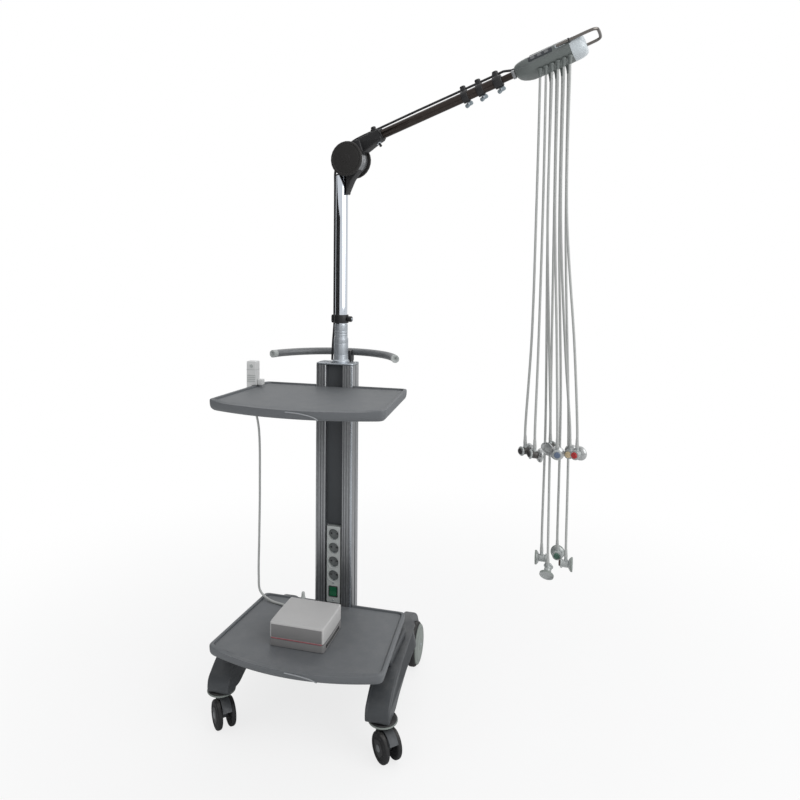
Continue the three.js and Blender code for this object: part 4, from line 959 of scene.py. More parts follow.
def tray_outline(inset_by):
    """The plan of a tray, counter-clockwise: straight rear, splayed sides and a bowed front."""
    rear, front = TRAY_REAR_HALF - inset_by, TRAY_FRONT_HALF - inset_by
    back, corner, r = TRAY_REAR_Y - inset_by * 0.6, TRAY_CORNER_Y + inset_by, 15.0
    slope = (front - rear) / (back - corner)
    a, c = (-(front - slope * r), corner + r), (-(front - r), corner - r * 0.3)
    right_c, right_a = (-c[0], c[1]), (-a[0], a[1])
    rear_low, rear_in = (rear + slope * r, back - r), (rear - r, back)
    return np.concatenate([
        quadratic(rear_in, (0, back), (-rear_in[0], back), 24),
        quadratic((-rear_in[0], back), (-rear, back), (-rear_low[0], rear_low[1]), 8),
        quadratic((-rear_low[0], rear_low[1]), np.mean([(-rear_low[0], rear_low[1]), a], 0), a, 20),
        quadratic(a, (-front, corner), c, 8),
        quadratic(c, (0, corner - 2 * TRAY_BOW), right_c, 48),
        quadratic(right_c, (front, corner), right_a, 8),
        quadratic(right_a, np.mean([right_a, rear_low], 0), rear_low, 20),
        quadratic(rear_low, (rear, back), rear_in, 8),
    ])


def tray_shell(top, rim, groove):
    """Rings by inset and height; ahead of the front corners the rim sinks into a sloping lip."""
    bottom = top - TRAY_THICK
    levels = [  # inset, height, how far the lip's slope counts, whether it is clipped to the tray
        (34, bottom + 5, 0, 0), (32, bottom + 4.6, 0, 0), (30, bottom, 0, 0),
        *((inwards, top + height, 0.15 * (height > -20), 0) for inwards, height in TRAY_WALL),
        (0.3, top - 14, 0.5, 0), (0, top - 8, 1, 0), (0, top - 3.0, 1, 0), (0.4, top - 1.4, 1, 0),
        (1.3, top - 0.4, 1, 0), (2.6, top, 1, 0), (rim - 1.6, top, 1, 0),
        (rim - 0.5, top - 0.5, 1, 0),
        (rim, top - 1.6, 1, 0), (rim + 0.4, top - RIM_HEIGHT - groove, 1, 0),
        (rim + 2.2, top - RIM_HEIGHT - groove, 1, 0), (rim + 2.8, top - RIM_HEIGHT, 1, 0),
        (rim + 3.4, top - RIM_HEIGHT, 1, 1),
    ]
    rings = []
    for distance, height, counts, clipped in levels:
        x, y = tray_outline(distance).T
        ahead = np.maximum(TRAY_CORNER_Y - y, 0)
        sunk = np.clip(ahead / 14, 0, 1)
        over = max(height - (top - RIM_HEIGHT), 0)
        under = min(height - (top - RIM_HEIGHT), 0) if height > top - 7.5 else 0
        z = height - counts * (LIP_SLOPE * ahead + sunk * over * 0.94) - sunk * under * counts * 0.9
        if clipped:
            y = np.maximum(y, TRAY_CORNER_Y + 4)
            z = np.full_like(z, top - RIM_HEIGHT)
        rings.append(np.column_stack([x, y, z]))
    return skin(rings)


LINE_START_X, LINE_WIDTH = -4, 84
LINE_START_DROP, LINE_DROP = 11.5, 19.5


def front_line(top):
    """A thin raised line on the front band, in an arc from its upper edge to its lower one."""
    t = np.linspace(0, 1, 40)
    x = LINE_START_X + LINE_WIDTH * np.sin(t * math.pi / 2)
    z = top - LINE_START_DROP - LINE_DROP * (1 - np.cos(t * math.pi / 2))
    inwards, rise = np.array([*TRAY_WALL, (0.1, -15.0)]).T
    depth = np.interp(z - top, rise, inwards)
    half = TRAY_FRONT_HALF - depth - 15
    share = (x / half + 1) / 2
    low = TRAY_CORNER_Y + depth - 4.5
    y = low + 2 * share * (1 - share) * (TRAY_CORNER_Y + depth - 2 * TRAY_BOW - low)
    # The line's lighter finish paints the highlight along this moulded edge.
    return tube(np.column_stack([x, y - 0.9, z]), 1.6, 8, (0, 0, 1), rounded=True)


class TROLLEY_OT_trays(Operator):
    """The two moulded trays, with their pads and bracket"""

    bl_idname = "trolley.trays"
    bl_label = "Trays"

    def execute(self, context):
        sizes = context.scene.trolley_sizes
        for name, top in (("lower", LOWER_TOP), ("upper", UPPER_TOP)):
            shell = tray_shell(top, sizes.rim_width, sizes.groove)
            notch = rounded_box((-61.4, -47.4, top - 60), (61.4, 0, top + 30), 2)
            carved(f"{name}_tray", [(shell, "tray")], [notch], body="trolley",
                   stands_for=(f"{name}_shelf",), slot="shelf_plastic")
            if name == "lower":
                under = [rounded_box((x - 15, -240, 192.4), (x + 15, -70, 217), 4)
                         for x in (-224, 224)]
            else:
                wedge = softened([[-47.5, 845], [-47.5, 895], [-167, 895], [-167, 884]], 5, 4)
                under = [sideways(wedge, -40, 40, 3)]
                under += [sideways(wedge + [0, 2], x - 3, x + 3, 1) for x in (-34, 34)]
            piece(f"{name}_tray_fittings",
                  [(front_line(top), "line")] + [(shell, "frame") for shell in under],
                  "trolley", slot="shelf_plastic")
        return {"FINISHED"}


# ------------------------------------------------------------------ column
class TROLLEY_OT_column(Operator):
    """The extruded column with its ribs, a dark channel insert that is partly painted shade, and a
    bright strip on its right front corner that is a painted highlight
    """

    bl_idname = "trolley.column"
    bl_label = "Column"

    def execute(self, context):
        right = np.array([
            [27, -29], [27, -45.6], [28.4, -47], [32, -47], [32.6, -44.4], [34.6, -44.4],
            [35.2, -47], [40, -47], [40.6, -44.4], [42.6, -44.4], [43.2, -47], [49, -47],
            [49.6, -45.2], [51, -45.2], [51.6, -46.8], [57, -45], [60, -41], [61, -36], [61, -23],
            [57, -22], [57, -14], [61, -13], [61, 8], [60, 14], [56.6, 18.6], [50, 20], [34, 20],
            [33, 16], [27, 16], [26, 20], [8, 20], [7, 14], [1, 14],
        ])
        outline = np.concatenate([right, right[::-1] * [-1, 1]])
        # The dark slab in the channel is partly an insert and partly painted shade of the recess.
        insert = softened([[-26.6, -29.2], [26.6, -29.2], [26.6, -36], [24, -36], [23, -32],
                           [-23, -32], [-24, -36], [-26.6, -36]], 0.8, 3)
        # A bright steel strip down the right front corner only: a painted highlight where the light
        # from the right catches the corner.
        corner_highlight = slab(rectangle(53.8, -47.8, 59.0, -44.6, 1.2), 200, 984, 0.5)
        piece("column_extrusion", [
            (slab(outline, 192.5, 985, 0.5, 3), "alloy"),
            (slab(insert, 487, 984, 0.6, 3), "channel"), (corner_highlight, "steel"),
        ], "trolley", ("column_profile",), "column_alloy")
        return {"FINISHED"}


SOCKET_LOW, SOCKET_PITCH, PANEL_FRONT_Y = 330, 43, -44.3
FRONT = (0, -1, 0)


class TROLLEY_OT_sockets(Operator):
    """The socket panel with four round wells, and its rocker switch"""

    bl_idname = "trolley.sockets"
    bl_label = "Sockets"

    def execute(self, context):
        front = PANEL_FRONT_Y
        panel = slab(rectangle(-22, front, 22, -29.4, 2.5), 246.2, 483.8, 1.2)
        opening = turned([[0, -11], [18.8, -11], [18.8, 3], [0, 3]], 48)
        cup = turned([[0, -10.9], [18.7, -10.9], [18.7, 0.4], [19.8, 0.5], [19.8, 1.3],
                      [17.9, 1.4], [17.2, 0.6], [17.0, -9.2], [0, -9.4]], 56, soft=0.4)
        # The floor of each socket recess is painted a darker grey as the shade inside it.
        bowl = turned([[0, -9.6], [16.9, -9.6], [16.9, -8.8], [4.6, -8.6], [4.2, -6.4],
                       [0, -6.4]], 48, soft=0.3)
        # Each pin hole is a shallow black disc, painted shade for the inside of the hole.
        hole = turned([[0, -8.8], [2.7, -8.8], [2.9, -8.2], [0, -8.2]], 20)
        cutters, wells = [], []
        for z in SOCKET_LOW + SOCKET_PITCH * np.arange(4):
            cutters.append(aimed(opening, FRONT, (0, front, z)))
            wells += [(aimed(cup, FRONT, (0, front, z)), "socket"),
                      (aimed(bowl, FRONT, (0, front, z)), "well")]
            for side in (-1, 1):
                clip_z = z + side * 15.6
                clip = rounded_box((-2.2, front + 2.5, clip_z - 1),
                                   (2.2, front + 9, clip_z + 1), 0.6)
                wells += [(aimed(hole, FRONT, (side * 9.5, front, z)), "tyre"),
                          (clip, "steel")]
        cutters.append(rounded_box((-12.8, front - 2, 266), (12.8, front + 12, 296), 1))
        carved("socket_panel", [(panel, "socket")], cutters, body="trolley",
               stands_for=("socket_strip",), slot="socket_panel")
        outline = rectangle(-15, 263.8, 15, 298.2, 3)
        section = [(0, -front), (0.4, -front + 1.3), (1.8, -front + 1.8), (2.4, -front + 1.4),
                   (2.4, -front)]
        bezel = relaid(window_frame(outline, section), (0, 2, 1))
        bezel = (bezel[0] * [1, -1, 1], bezel[1], bezel[2])
        head = turned([[0, -0.4], [2.4, -0.4], [2.5, 0.5], [1.9, 1.0], [0, 1.1]], 20, soft=0.2)
        screws = [(aimed(head, FRONT, (0, front, z)), "steel") for z in (253.5, 307)]
        piece("socket_wells", wells + [(bezel, "black")] + screws, "trolley",
              slot="socket_panel")
        side = np.array([[-2.5, 14], [-1.7, 7], [-0.8, 0], [-1.7, -7], [-2.5, -14], [3, -14],
                         [8, 0], [3, 14]], float)
        angle = math.radians(-7)
        side = (side - [5, 0]) @ np.array([[math.cos(angle), math.sin(angle)],
                                           [-math.sin(angle), math.cos(angle)]])
        rocker = sideways(softened(side + [front + 5, 281], 1.2, 4), -12, 12, 0.9)
        piece("power_rocker", [(rocker, "rocker")], "switch", ("power_switch",),
              "switch_green")
        return {"FINISHED"}


# ------------------------------------------------------------------ base
LEG_SIDE = [
    (-278, 100.3), (-236, 118), (-150, 138), (-40, 142), (30, 110), (44, 74), (184, 60), (194, 66),
    (190, 100), (168, 134), (140, 155), (105, 174), (60, 188), (20, 192), (-245, 192),
    (-300, 174), (-344, 140), (-349, 118), (-346, 100.3),
]


REAR_AXLE = (0, 115, 67)
ARCH_RADIUS = 71
LEG_INNER, LEG_OUTER, LEG_NARROWING = 200, 262, 0.62


class TROLLEY_OT_base(Operator):
    """The two legs, the cross-member and the round bumpers"""

    bl_idname = "trolley.base"
    bl_label = "Base"

    def execute(self, context):
        rounding = context.scene.trolley_sizes.leg_round
        piece("cross_member", [
            (rounded_box((-195.6, -46, 118), (195.6, 46, 192), 5), "frame"),
            (rounded_box((-150, -40, 113), (150, 40, 119), 4), "black"),
        ], "trolley", ("base_crossmember",), "cast_frame")
        for side, word in ((-1, "left"), (1, "right")):
            angle = np.radians(np.linspace(176, 3, 40))
            arch = REAR_AXLE[1:] + ARCH_RADIUS * np.column_stack([np.cos(angle), np.sin(angle)])
            round_by = [16 if 100.4 < z < 190 else 10 for _, z in LEG_SIDE]
            plate = sideways(softened(LEG_SIDE, round_by, 5), 196, 205, 2, 4)
            radii = np.array([16.0] * 5 + [0.5] * 40 + [2.0] + [16.0] * (len(LEG_SIDE) - 8))
            body = softened(np.concatenate([LEG_SIDE[:5], arch, LEG_SIDE[7:]]), radii, 4)
            body = sideways(body, LEG_INNER, LEG_OUTER, rounding, 6)
            share = np.clip((body[0][:, 1] + 30) / 95, 0, 1)
            narrow = 1 - LEG_NARROWING * share ** 2 * (3 - 2 * share)
            body[0][:, 0] = LEG_INNER + (body[0][:, 0] - LEG_INNER) * narrow
            axle = relaid(turned([[0, 198], [8, 198], [8, 234], [0, 234]], 28), (2, 0, 1))
            axle = moved(axle, REAR_AXLE)
            if side < 0:
                plate, body, axle = mirrored(plate), mirrored(body), mirrored(axle)
            piece(f"leg_{word}_casting", [(plate, "frame"), (body, "frame")], "trolley",
                  (f"leg_{word}",), "cast_frame")
            piece(f"rear_axle_{word}", [(axle, "steel")], "trolley", slot="cast_frame")
            at = (side * CASTER_X, CASTER_Y, 0)
            rim = turned([[0, 91.2], [36, 91.2], [39.2, 92.6], [39.5, 94], [39.5, 95.6], [38, 96.6],
                          [0, 96.6]], 56, soft=1)
            upper = turned([[0, 96.4], [37.2, 96.4], [37.6, 97.6], [37.6, 99], [36, 100], [0, 100]],
                           56, soft=0.6)
            piece(f"bumper_{word}_ring", [(moved(rim, at), "pale"),
                                          (moved(upper, at), "black")],
                  "trolley", (f"bumper_{word}",), "pale_bumper")
        return {"FINISHED"}


CASTER_HUB = (22, 39)  # how far the wheels trail behind the swivel, and their height
HOOD_RADII = (44.4, 41.4)


class TROLLEY_OT_casters(Operator):
    """Two swivelling twin-wheel casters"""

    bl_idname = "trolley.casters"
    bl_label = "Casters"

    def execute(self, context):
        for side, word in ((-1, "left"), (1, "right")):
            where = caster_frame(side)
            cheek = softened([[-13, 90], [22, 90], [34, 62], [36, 40], [28, 26], [14, 28], [2, 57],
                              [-12, 75]], 6, 5)
            angle = np.radians(np.linspace(28, 158, 30))
            round_hub = np.column_stack([np.cos(angle), np.sin(angle)])
            outer, inner = (CASTER_HUB + radius * round_hub for radius in HOOD_RADII)
            hood = across(np.concatenate([outer, inner[::-1]]), 12.5, 1.0, 3)
            plate = turned([[0, 81.8], [18, 81.8], [20.6, 83.6], [21, 85], [21, 89], [19, 90.6],
                            [0, 90.6]], 40, soft=0.8)
            stem = turned([[0, 90], [6, 90], [6, 125], [5, 126], [0, 126]], 24)
            piece(f"caster_{word}_body", [
                (across(cheek, 9.5, 2.2), "frame"), (hood, "frame"),
                (plate, "black"), (stem, "steel"),
            ], f"caster_{word}", (f"caster_{word}_fork",), "black_plastic", where)
            half = [[0, 11.2], [9, 11.2], [33, 11.2], [36.6, 12.0], [38.6, 14.2], [39, 17],
                    [39, 20], [38.6, 22.6], [36.6, 25], [33, 26], [29.5, 26], [28.6, 24.6],
                    [26, 24.2], [24, 24.4], [22.6, 25.6], [10, 26.2], [0, 26.4]]
            tyre = turned(half, 64, soft=0.7)
            hub = turned([[0, 25.4], [9, 25.6], [9.2, 26.8], [7.6, 27.8], [0, 28]], 32, soft=0.5)
            spokes = turned([[0, 24], [21.6, 24.8], [21.6, 26.0], [20.6, 26.5], [10, 26.9],
                             [0, 26.9]], 64, (5, 0.10), soft=0.3)
            middle = (CASTER_HUB[0], 0, CASTER_HUB[1])
            parts = [(aimed(shell, (0, way, 0), middle), material) for way in (-1, 1)
                     for shell, material in ((tyre, "tyre"), (hub, "handle"), (spokes, "black"))]
            pin = turned([[0, -14], [4.8, -14], [4.8, 14], [0, 14]], 24)
            parts.append((aimed(pin, (0, 1, 0), middle), "steel"))
            piece(f"caster_{word}_twin", parts, f"caster_{word}_roller",
                  (f"caster_{word}_wheels",), "tyre", where)
        return {"FINISHED"}


class TROLLEY_OT_rear_wheels(Operator):
    """Two large rear wheels with pale hubs"""

    bl_idname = "trolley.rear_wheels"
    bl_label = "Rear Wheels"

    def execute(self, context):
        tyre = turned([[0, 0.2], [40, 0.2], [55, 0.6], [61, 2.4], [65, 6], [67, 10], [67, 22],
                       [65.4, 26.6], [62, 29.4], [57, 31.4], [54, 31.8], [50, 31.2], [0, 31.2]],
                      96, soft=1.2)
        hub = turned([[0, 30], [59.4, 30], [60, 32.4], [58.6, 34.4], [55, 36.0], [44, 37.6],
                      [30, 37.2], [20, 36.6], [17, 36.2], [16.4, 35.2], [15.4, 35.2], [14.8, 36.4],
                      [12, 37.4], [0, 37.8]], 96, soft=0.9)
        line = band(48.6, 49.8, 35.4, 37.3, 0.3)
        bolt = turned([[0, 37.2], [5.4, 37.2], [5.4, 38.4], [4.4, 39.2], [0, 39.3]], 6)
        for side, word in ((-1, "left"), (1, "right")):
            parts = []
            for shell, material in ((tyre, "tyre"), (hub, "pale"), (line, "handle"),
                                    (bolt, "steel")):
                shell = moved(relaid(shell, (2, 0, 1)), (207, *REAR_AXLE[1:]))
                parts.append((shell if side > 0 else mirrored(shell), material))
            piece(f"rear_wheel_{word}_tyred", parts, f"rear_roller_{word}",
                  (f"rear_wheel_{word}",), "tyre")
        return {"FINISHED"}


# ------------------------------------------------------------------ handle
HANDLE_REAR_Y, HANDLE_Z = 76.0, 1014.0
HANDLE_DEPTH, HANDLE_REACH = 140.0, 198.0  # of its arc: how far it curves forwards and sideways


class TROLLEY_OT_handle(Operator):
    """The curved push handle, its pale ends and its bracket"""

    bl_idname = "trolley.handle"
    bl_label = "Handle"

    def execute(self, context):
        radius = (HANDLE_REACH ** 2 + HANDLE_DEPTH ** 2) / (2 * HANDLE_DEPTH)
        centre_y = HANDLE_REAR_Y - radius
        sweep = math.atan2(HANDLE_REACH, HANDLE_REAR_Y - HANDLE_DEPTH - centre_y)

        def arc(start, end, count):
            angle = np.linspace(start, end, count)
            return np.column_stack([radius * np.sin(angle), centre_y + radius * np.cos(angle),
                                    np.full(count, HANDLE_Z)])

        cap = 16 / radius
        bar = tube(arc(-sweep + cap * 0.6, sweep - cap * 0.6, 72), 11.4, 28, (0, 0, 1))
        parts = [(bar, "handle")]
        for start in (-sweep, sweep - cap):
            parts.append((tube(arc(start, start + cap, 14), 11.8, 28, (0, 0, 1), rounded=True),
                          "socket"))
        piece("push_handle", parts, "trolley", ("handle_bar",), "handle_metal")
        clamp = rounded_box((-24, 44, 984), (24, 80, 1021), 5)
        foot = rounded_box((-24, 20.4, 925), (24, 76, 986), 5)
        bolts = [(aimed(turned([[0, -1], [4.6, -1], [4.6, 2.4], [3.6, 3.2], [0, 3.2]], 6),
                        (0, 1, 0), (x, 76, z)), "steel")
                 for x in (-14, 14) for z in (940, 970)]
        piece("handle_clamp", [(foot, "black"), (clamp, "black"), *bolts],
              "trolley", ("handle_bracket",), "black_plastic")
        return {"FINISHED"}


# ------------------------------------------------------------------ pump
class TROLLEY_OT_pump(Operator):
    """The suction pump box on the lower tray"""

    bl_idname = "trolley.pump"
    bl_label = "Pump"

    def execute(self, context):
        def plan(grow):
            middle = -237
            corners = [(68 + grow, -311 - grow), (68 + grow, -163 + grow),
                       (-90 - grow, -163 + grow), (-90 - grow, -311 - grow)]
            right = quadratic(corners[0], (71 + grow, middle), corners[1], 7)
            left = quadratic(corners[2], (-93 - grow, middle), corners[3], 7)
            return np.concatenate([right, corners[1:2], left, corners[3:]])

        def shell(grow, low, high, rim):
            outline = plan(grow)
            radius = np.where(np.abs(outline[:, 1] + 237) > 72, 7.0, 2.0)
            return slab(softened(outline, radius, 5), low, high, rim, 5)

        # front is the darker copy of the cover plastic: on the lid's front plate it is painted
        # shade, and the lower band takes the same grey.
        top, front, dark = "pump_top", "pump_front", "black"
        piece("pump_lid", [
            (shell(0, 262.8, 308.3, 4.5), top),
            (rounded_box((-85, -312.4, 267), (63, -309, 302), 1.2), front),
            (rounded_box((-85.2, -312.7, 263.6), (63.2, -309, 265.0), 0.5), "red"),
        ], "trolley", ("pump_cover",), "pump_white")
        barrel = [[0, 246], [8, 246], [8, 268]]
        for k in range(5):
            z = 270 + 8 * k
            barrel += [[6.9, z], [6.9, z + 3], [5.6, z + 4], [5.6, z + 6.4]]
        barrel += [[5.0, 311], [5.0, 317], [3.6, 321], [0, 322]]
        # Black bars along the tub's right side are painted shade for the inside of its vent slots.
        vent_slot_shade = [(rounded_box((66.0, y - 1.4, 248), (69.4 + 1.2, y + 1.4, 257), 0.8), dark)
                 for y in range(-290, -190, 9)]
        piece("pump_tub", [
            (shell(0, 240.4, 262.2, 2.5), front), (shell(-1.6, 261.4, 263.4, 0.4), dark),
            (rounded_box((-64, -164, 242.5), (-48, -145, 274), 2.5), "pale"),
            (moved(turned(barrel, 32, soft=0.7), (-56, -151, 0)), "socket"), *vent_slot_shade,
        ], "trolley", ("pump_base",), "pump_grey")
        return {"FINISHED"}


# ------------------------------------------------------------------ mast
class TROLLEY_OT_mast(Operator):
    """The mast, the sleeve it turns in, and its hose clip"""

    bl_idname = "trolley.mast"
    bl_label = "Mast"

    def execute(self, context):
        cap = slab(rectangle(-61, -47, 61, 20, 12, 8), 985.4, 990.4, 1.4)
        sleeve = turned([
            [0, 986], [26.4, 986], [26.4, 994.6], [24.6, 997], [22.6, 998.4], [22.5, 1012],
            [21.9, 1012.8], [22.5, 1013.6], [22.5, 1048], [21.9, 1048.8], [22.5, 1049.6],
            [22.5, 1062.6], [21.8, 1064.6], [20.9, 1064.6], [20.8, 1058], [0, 1058],
        ], 64, soft=0.6)
        piece("mast_socket", [(cap, "steel"),
                              (moved(sleeve, MAST_AXIS), "satin")],
              "trolley", ("mast_sleeve",), "column_alloy")
        collar = [[0, 1000], [20.4, 1000]]
        for z in (1070, 1078, 1086):
            collar += [[20.5, z], [19.7, z + 0.7], [19.7, z + 1.5], [20.5, z + 2.2]]
        collar += [[20.5, 1106], [19.6, 1109.4], [19.1, 1110.4], [0, 1110.4]]
        mast = turned([[0, 1108], [19, 1108], [19, 1569.6], [18.4, 1570.4], [0, 1570.4]], 96)
        piece("mast_chrome", [(turned(collar, 64, soft=0.4), "satin"),
                              (mast, "chrome")],
              "mast", ("mast_tube",), "chrome", SWIVEL)
        ring = band(19.1, 23, 1112, 1138, 1.4)
        holder = rounded_box((-31, -8, 1112.4), (-18, 8, 1137.6), 3)
        knob = turned([[0, 0], [5, 0], [5, 4], [8.2, 4.6], [9, 6.2], [9, 16.6], [8, 18.4],
                       [5, 18.8], [0, 18.8]], 64, (12, 0.09), soft=0.5)
        centre = turned([[0, 18], [4.4, 18], [4.4, 19.6], [3.6, 20.2], [0, 20.3]], 28, soft=0.3)
        saddle = rounded_box((-32.6, -5.6, 1116), (-30.4, 5.6, 1134), 1)
        piece("mast_hose_clip", [
            (ring, "black"), (holder, "black"), (saddle, "steel"),
            (aimed(knob, (1, 0, 0), (19, 0, 1125)), "black"),
            (aimed(centre, (1, 0, 0), (19, 0, 1125)), "steel"),
        ], "mast", ("mast_clip",), "black_plastic", SWIVEL)
        return {"FINISHED"}


# ------------------------------------------------------------------ elbow and arm
class TROLLEY_OT_elbow(Operator):
    """The drum, its two clamping discs and the gusset on the mast"""

    bl_idname = "trolley.elbow"
    bl_label = "Elbow"

    def execute(self, context):
        facets = context.scene.trolley_sizes.facets
        hinge_x, hinge_z = HINGE[0], HINGE[2]
        drum = turned([[0, -26.6], [43, -26.6], [44, -25.6], [44, -9], [43.2, -8.4], [43.2, -7.6],
                       [44, -7], [44, 7], [43.2, 7.6], [43.2, 8.4], [44, 9], [44, 25.6], [43, 26.6],
                       [0, 26.6]], 96, soft=0.3)
        piece("elbow_drum", [(aimed(drum, (0, 1, 0), (hinge_x, 0, hinge_z)), "alloy")],
              "mast", ("elbow_hub",), "column_alloy", SWIVEL)
        gusset = softened([
            [19.4, 1509], [41.4, 1555], [65, 1583], [50, 1592], [31, 1571.5], [16, 1572],
            [-5, 1578], [-5, 1571], [19.4, 1571],
        ], 4, 4)
        collar = turned([[0, 1570.8], [19.2, 1570.8], [19.6, 1572], [19, 1574.4], [0, 1574.6]], 56)
        piece("elbow_gusset", [(across(gusset, 15, 3), "black"),
                               (collar, "black")],
              "mast", ("elbow_bracket",), "black_plastic", SWIVEL)
        disc = turned([[0, 0], [51.8, 0], [53, 1], [53.5, 2.4], [53.5, 4.8], [52.6, 6.4], [49.6, 8],
                       [45, 8], [44.2, 7.2], [43.2, 7.2], [42.4, 8], [0, 8.2]], 144,
                      (facets, 0.006), soft=0.7)
        boss = turned([[0, 7.6], [13, 7.6], [13, 8.4], [12.4, 8.8], [0, 8.9]], 48, soft=0.3)
        for side, word in ((-1, "front"), (1, "rear")):
            at = (0, side * 27, 0)
            piece(f"elbow_cheek_{word}", [
                (aimed(disc, (0, side, 0), at), "disc"),
                (aimed(boss, (0, side, 0), at), "disc"),
            ], "arm", (f"elbow_disc_{word}",), "black_plastic", ARM)
        return {"FINISHED"}


def wing_screw(u, w, lean=4.0):
    """A short stud under a clip with a pair of small wings, as (shell, finish name) parts."""
    down = np.array([lean, 0.0, -14.0])
    stud = turned([[0, 0], [3, 0], [3, 7], [4.6, 8], [4.6, 12.6], [3.6, 13.6], [0, 13.8]], 28,
                  soft=0.5)
    outline = softened([[-11, 7], [-4, 6], [4, 6], [11, 7], [13, 12], [11.4, 17.6], [5.4, 18.4],
                        [0, 16.4], [-5.4, 18.4], [-11.4, 17.6], [-13, 12]], 3.4, 5)
    wings = across(outline, 3.2, 1.5, 4)
    return [(aimed(stud, down, (u, 0, w)), "steel"), (aimed(wings, down, (u, 0, w)), "wing")]


def top_knob(u, w, radius=7.4):
    """A fluted round knob on top of a clip, with a sunk middle."""
    knob = turned([[0, 0], [radius * 0.7, 0], [radius * 0.7, 1.6], [radius, 2.6], [radius, 7.4],
                   [radius - 1, 8.6], [radius * 0.55, 8.8], [radius * 0.45, 8], [0, 8]], 60,
                  (10, 0.08), soft=0.4)
    return (aimed(knob, (0, 0, 1), (u, 0, w)), "black")


class TROLLEY_OT_arm(Operator):
    """The arm's block, tube, hose clips and end collar"""

    bl_idname = "trolley.arm"
    bl_label = "Arm"

    def execute(self, context):
        block = softened([[14, 45.5], [40, 47.6], [60, 49.5], [122, 50.2], [122, 17], [104, 14],
                          [62, 3], [46, 1], [44.4, 10], [40, 22], [30, 34], [20, 41]], 4, 4)
        ears = softened([[20, 40.6], [20, 46], [40, 45.6], [56, 40], [56, 4], [45, 4], [42, 17],
                         [33, 31]], 3, 4)
        saddle = slab(rectangle(92, -8, 110, 8, 3), 46, 60, 1.6)
        ring = aimed(band(14.3, 18.2, 0, 6, 1.2), (1, 0, 0), (120, 0, 34))
        lever = turned([[0, -3], [3.4, -3], [3.4, 6], [4.2, 7], [4.2, 10.4], [3, 11.6], [0, 11.8]],
                       28, soft=0.5)
        nut = aimed(turned([[0, 0], [7, 0], [7.6, 0.8], [7.6, 3.6], [6.8, 4.4], [0, 4.4]], 32,
                           soft=0.4), (0.25, 0, -1), (104, 0, 15))
        piece("arm_clamp", [
            (across(block, 17, 4, 5), "black"), (across(ears, 26.6, 3), "black"),
            (saddle, "black"), top_knob(101, 58.4, 7.8), (ring, "black"),
            (nut, "steel"),
            (aimed(lever, (0.3, 0, -1), (105, 0, 12)), "black"),
        ], "arm", ("arm_block",), "black_plastic", ARM)
        bar = turned([[0, 60], [14, 60], [14, 504], [13.4, 504.8], [0, 504.8]], 64)
        # The chromed arm tube is coloured dark brown as a painted reflection of dark surroundings.
        piece("arm_bar", [(aimed(bar, (1, 0, 0), (0, 0, 34)), "smoked")], "arm",
              ("arm_tube",), "chrome", ARM)
        for u, word in ((398, "inner"), (444, "outer")):
            self.clip(f"hose_clip_{word}", u - 6.5, u + 6.5, u, f"arm_clip_{word}", [])
        neck = turned([[0, 502], [16.4, 502], [17.2, 503], [17.2, 508], [15.6, 510.6], [11, 511],
                       [0, 511]], 48, soft=0.6)
        self.clip("end_clip", 489, 503, 497, "arm_collar",
                  [(aimed(neck, (1, 0, 0), (0, 0, 34)), "black")])
        return {"FINISHED"}

    def clip(self, name, low, high, u, node, extra):
        """A band on the tube, a tower that holds the hose, a knob above and wings below."""
        ring = aimed(band(14.1, 18.2, low - 3, high + 3, 1.4), (1, 0, 0), (0, 0, 34))
        tower = slab(rectangle(low - 1, -8, high + 1, 8, 2.8), 44, 59.4, 1.6)
        neck = slab(rectangle(low - 2, -10.5, high + 2, 10.5, 2), 45, 50.6, 1)
        parts = [(ring, "black"), (tower, "black"), (neck, "black"), top_knob(u, 56.6, 8.6),
                 *wing_screw(u, 20)]
        piece(name, parts + extra, "arm", (node,), "black_plastic", ARM)


WRAP_R = 48.7
MAST_HOSE = [(-31, 0, 994.3), (-30.5, 0, 1014.3), (-28.5, 0, 1055), (-24.5, 0, 1107),
             (-24.5, 0, 1143), (-24.5, 0, 1320), (-24.5, 0, 1540), (-24.5, 0, 1580)]
ARM_HOSE = [(8, 0, 48.8), (30, 0, 53.2), (60, 0, 55), (90, 0, 55), (115, 0, 55), (250, 0, 55.6),
            (390, 0, 55), (406, 0, 55), (436, 0, 55), (452, 0, 55), (481, 0, 55), (513, 0, 55),
            (520, 0, 55), (543, 0, 48), (551.4, 0, 47.5)]


MAST_CLIP_Z, ARM_HOSE_CLIPS = 1125.0, (101, 496)


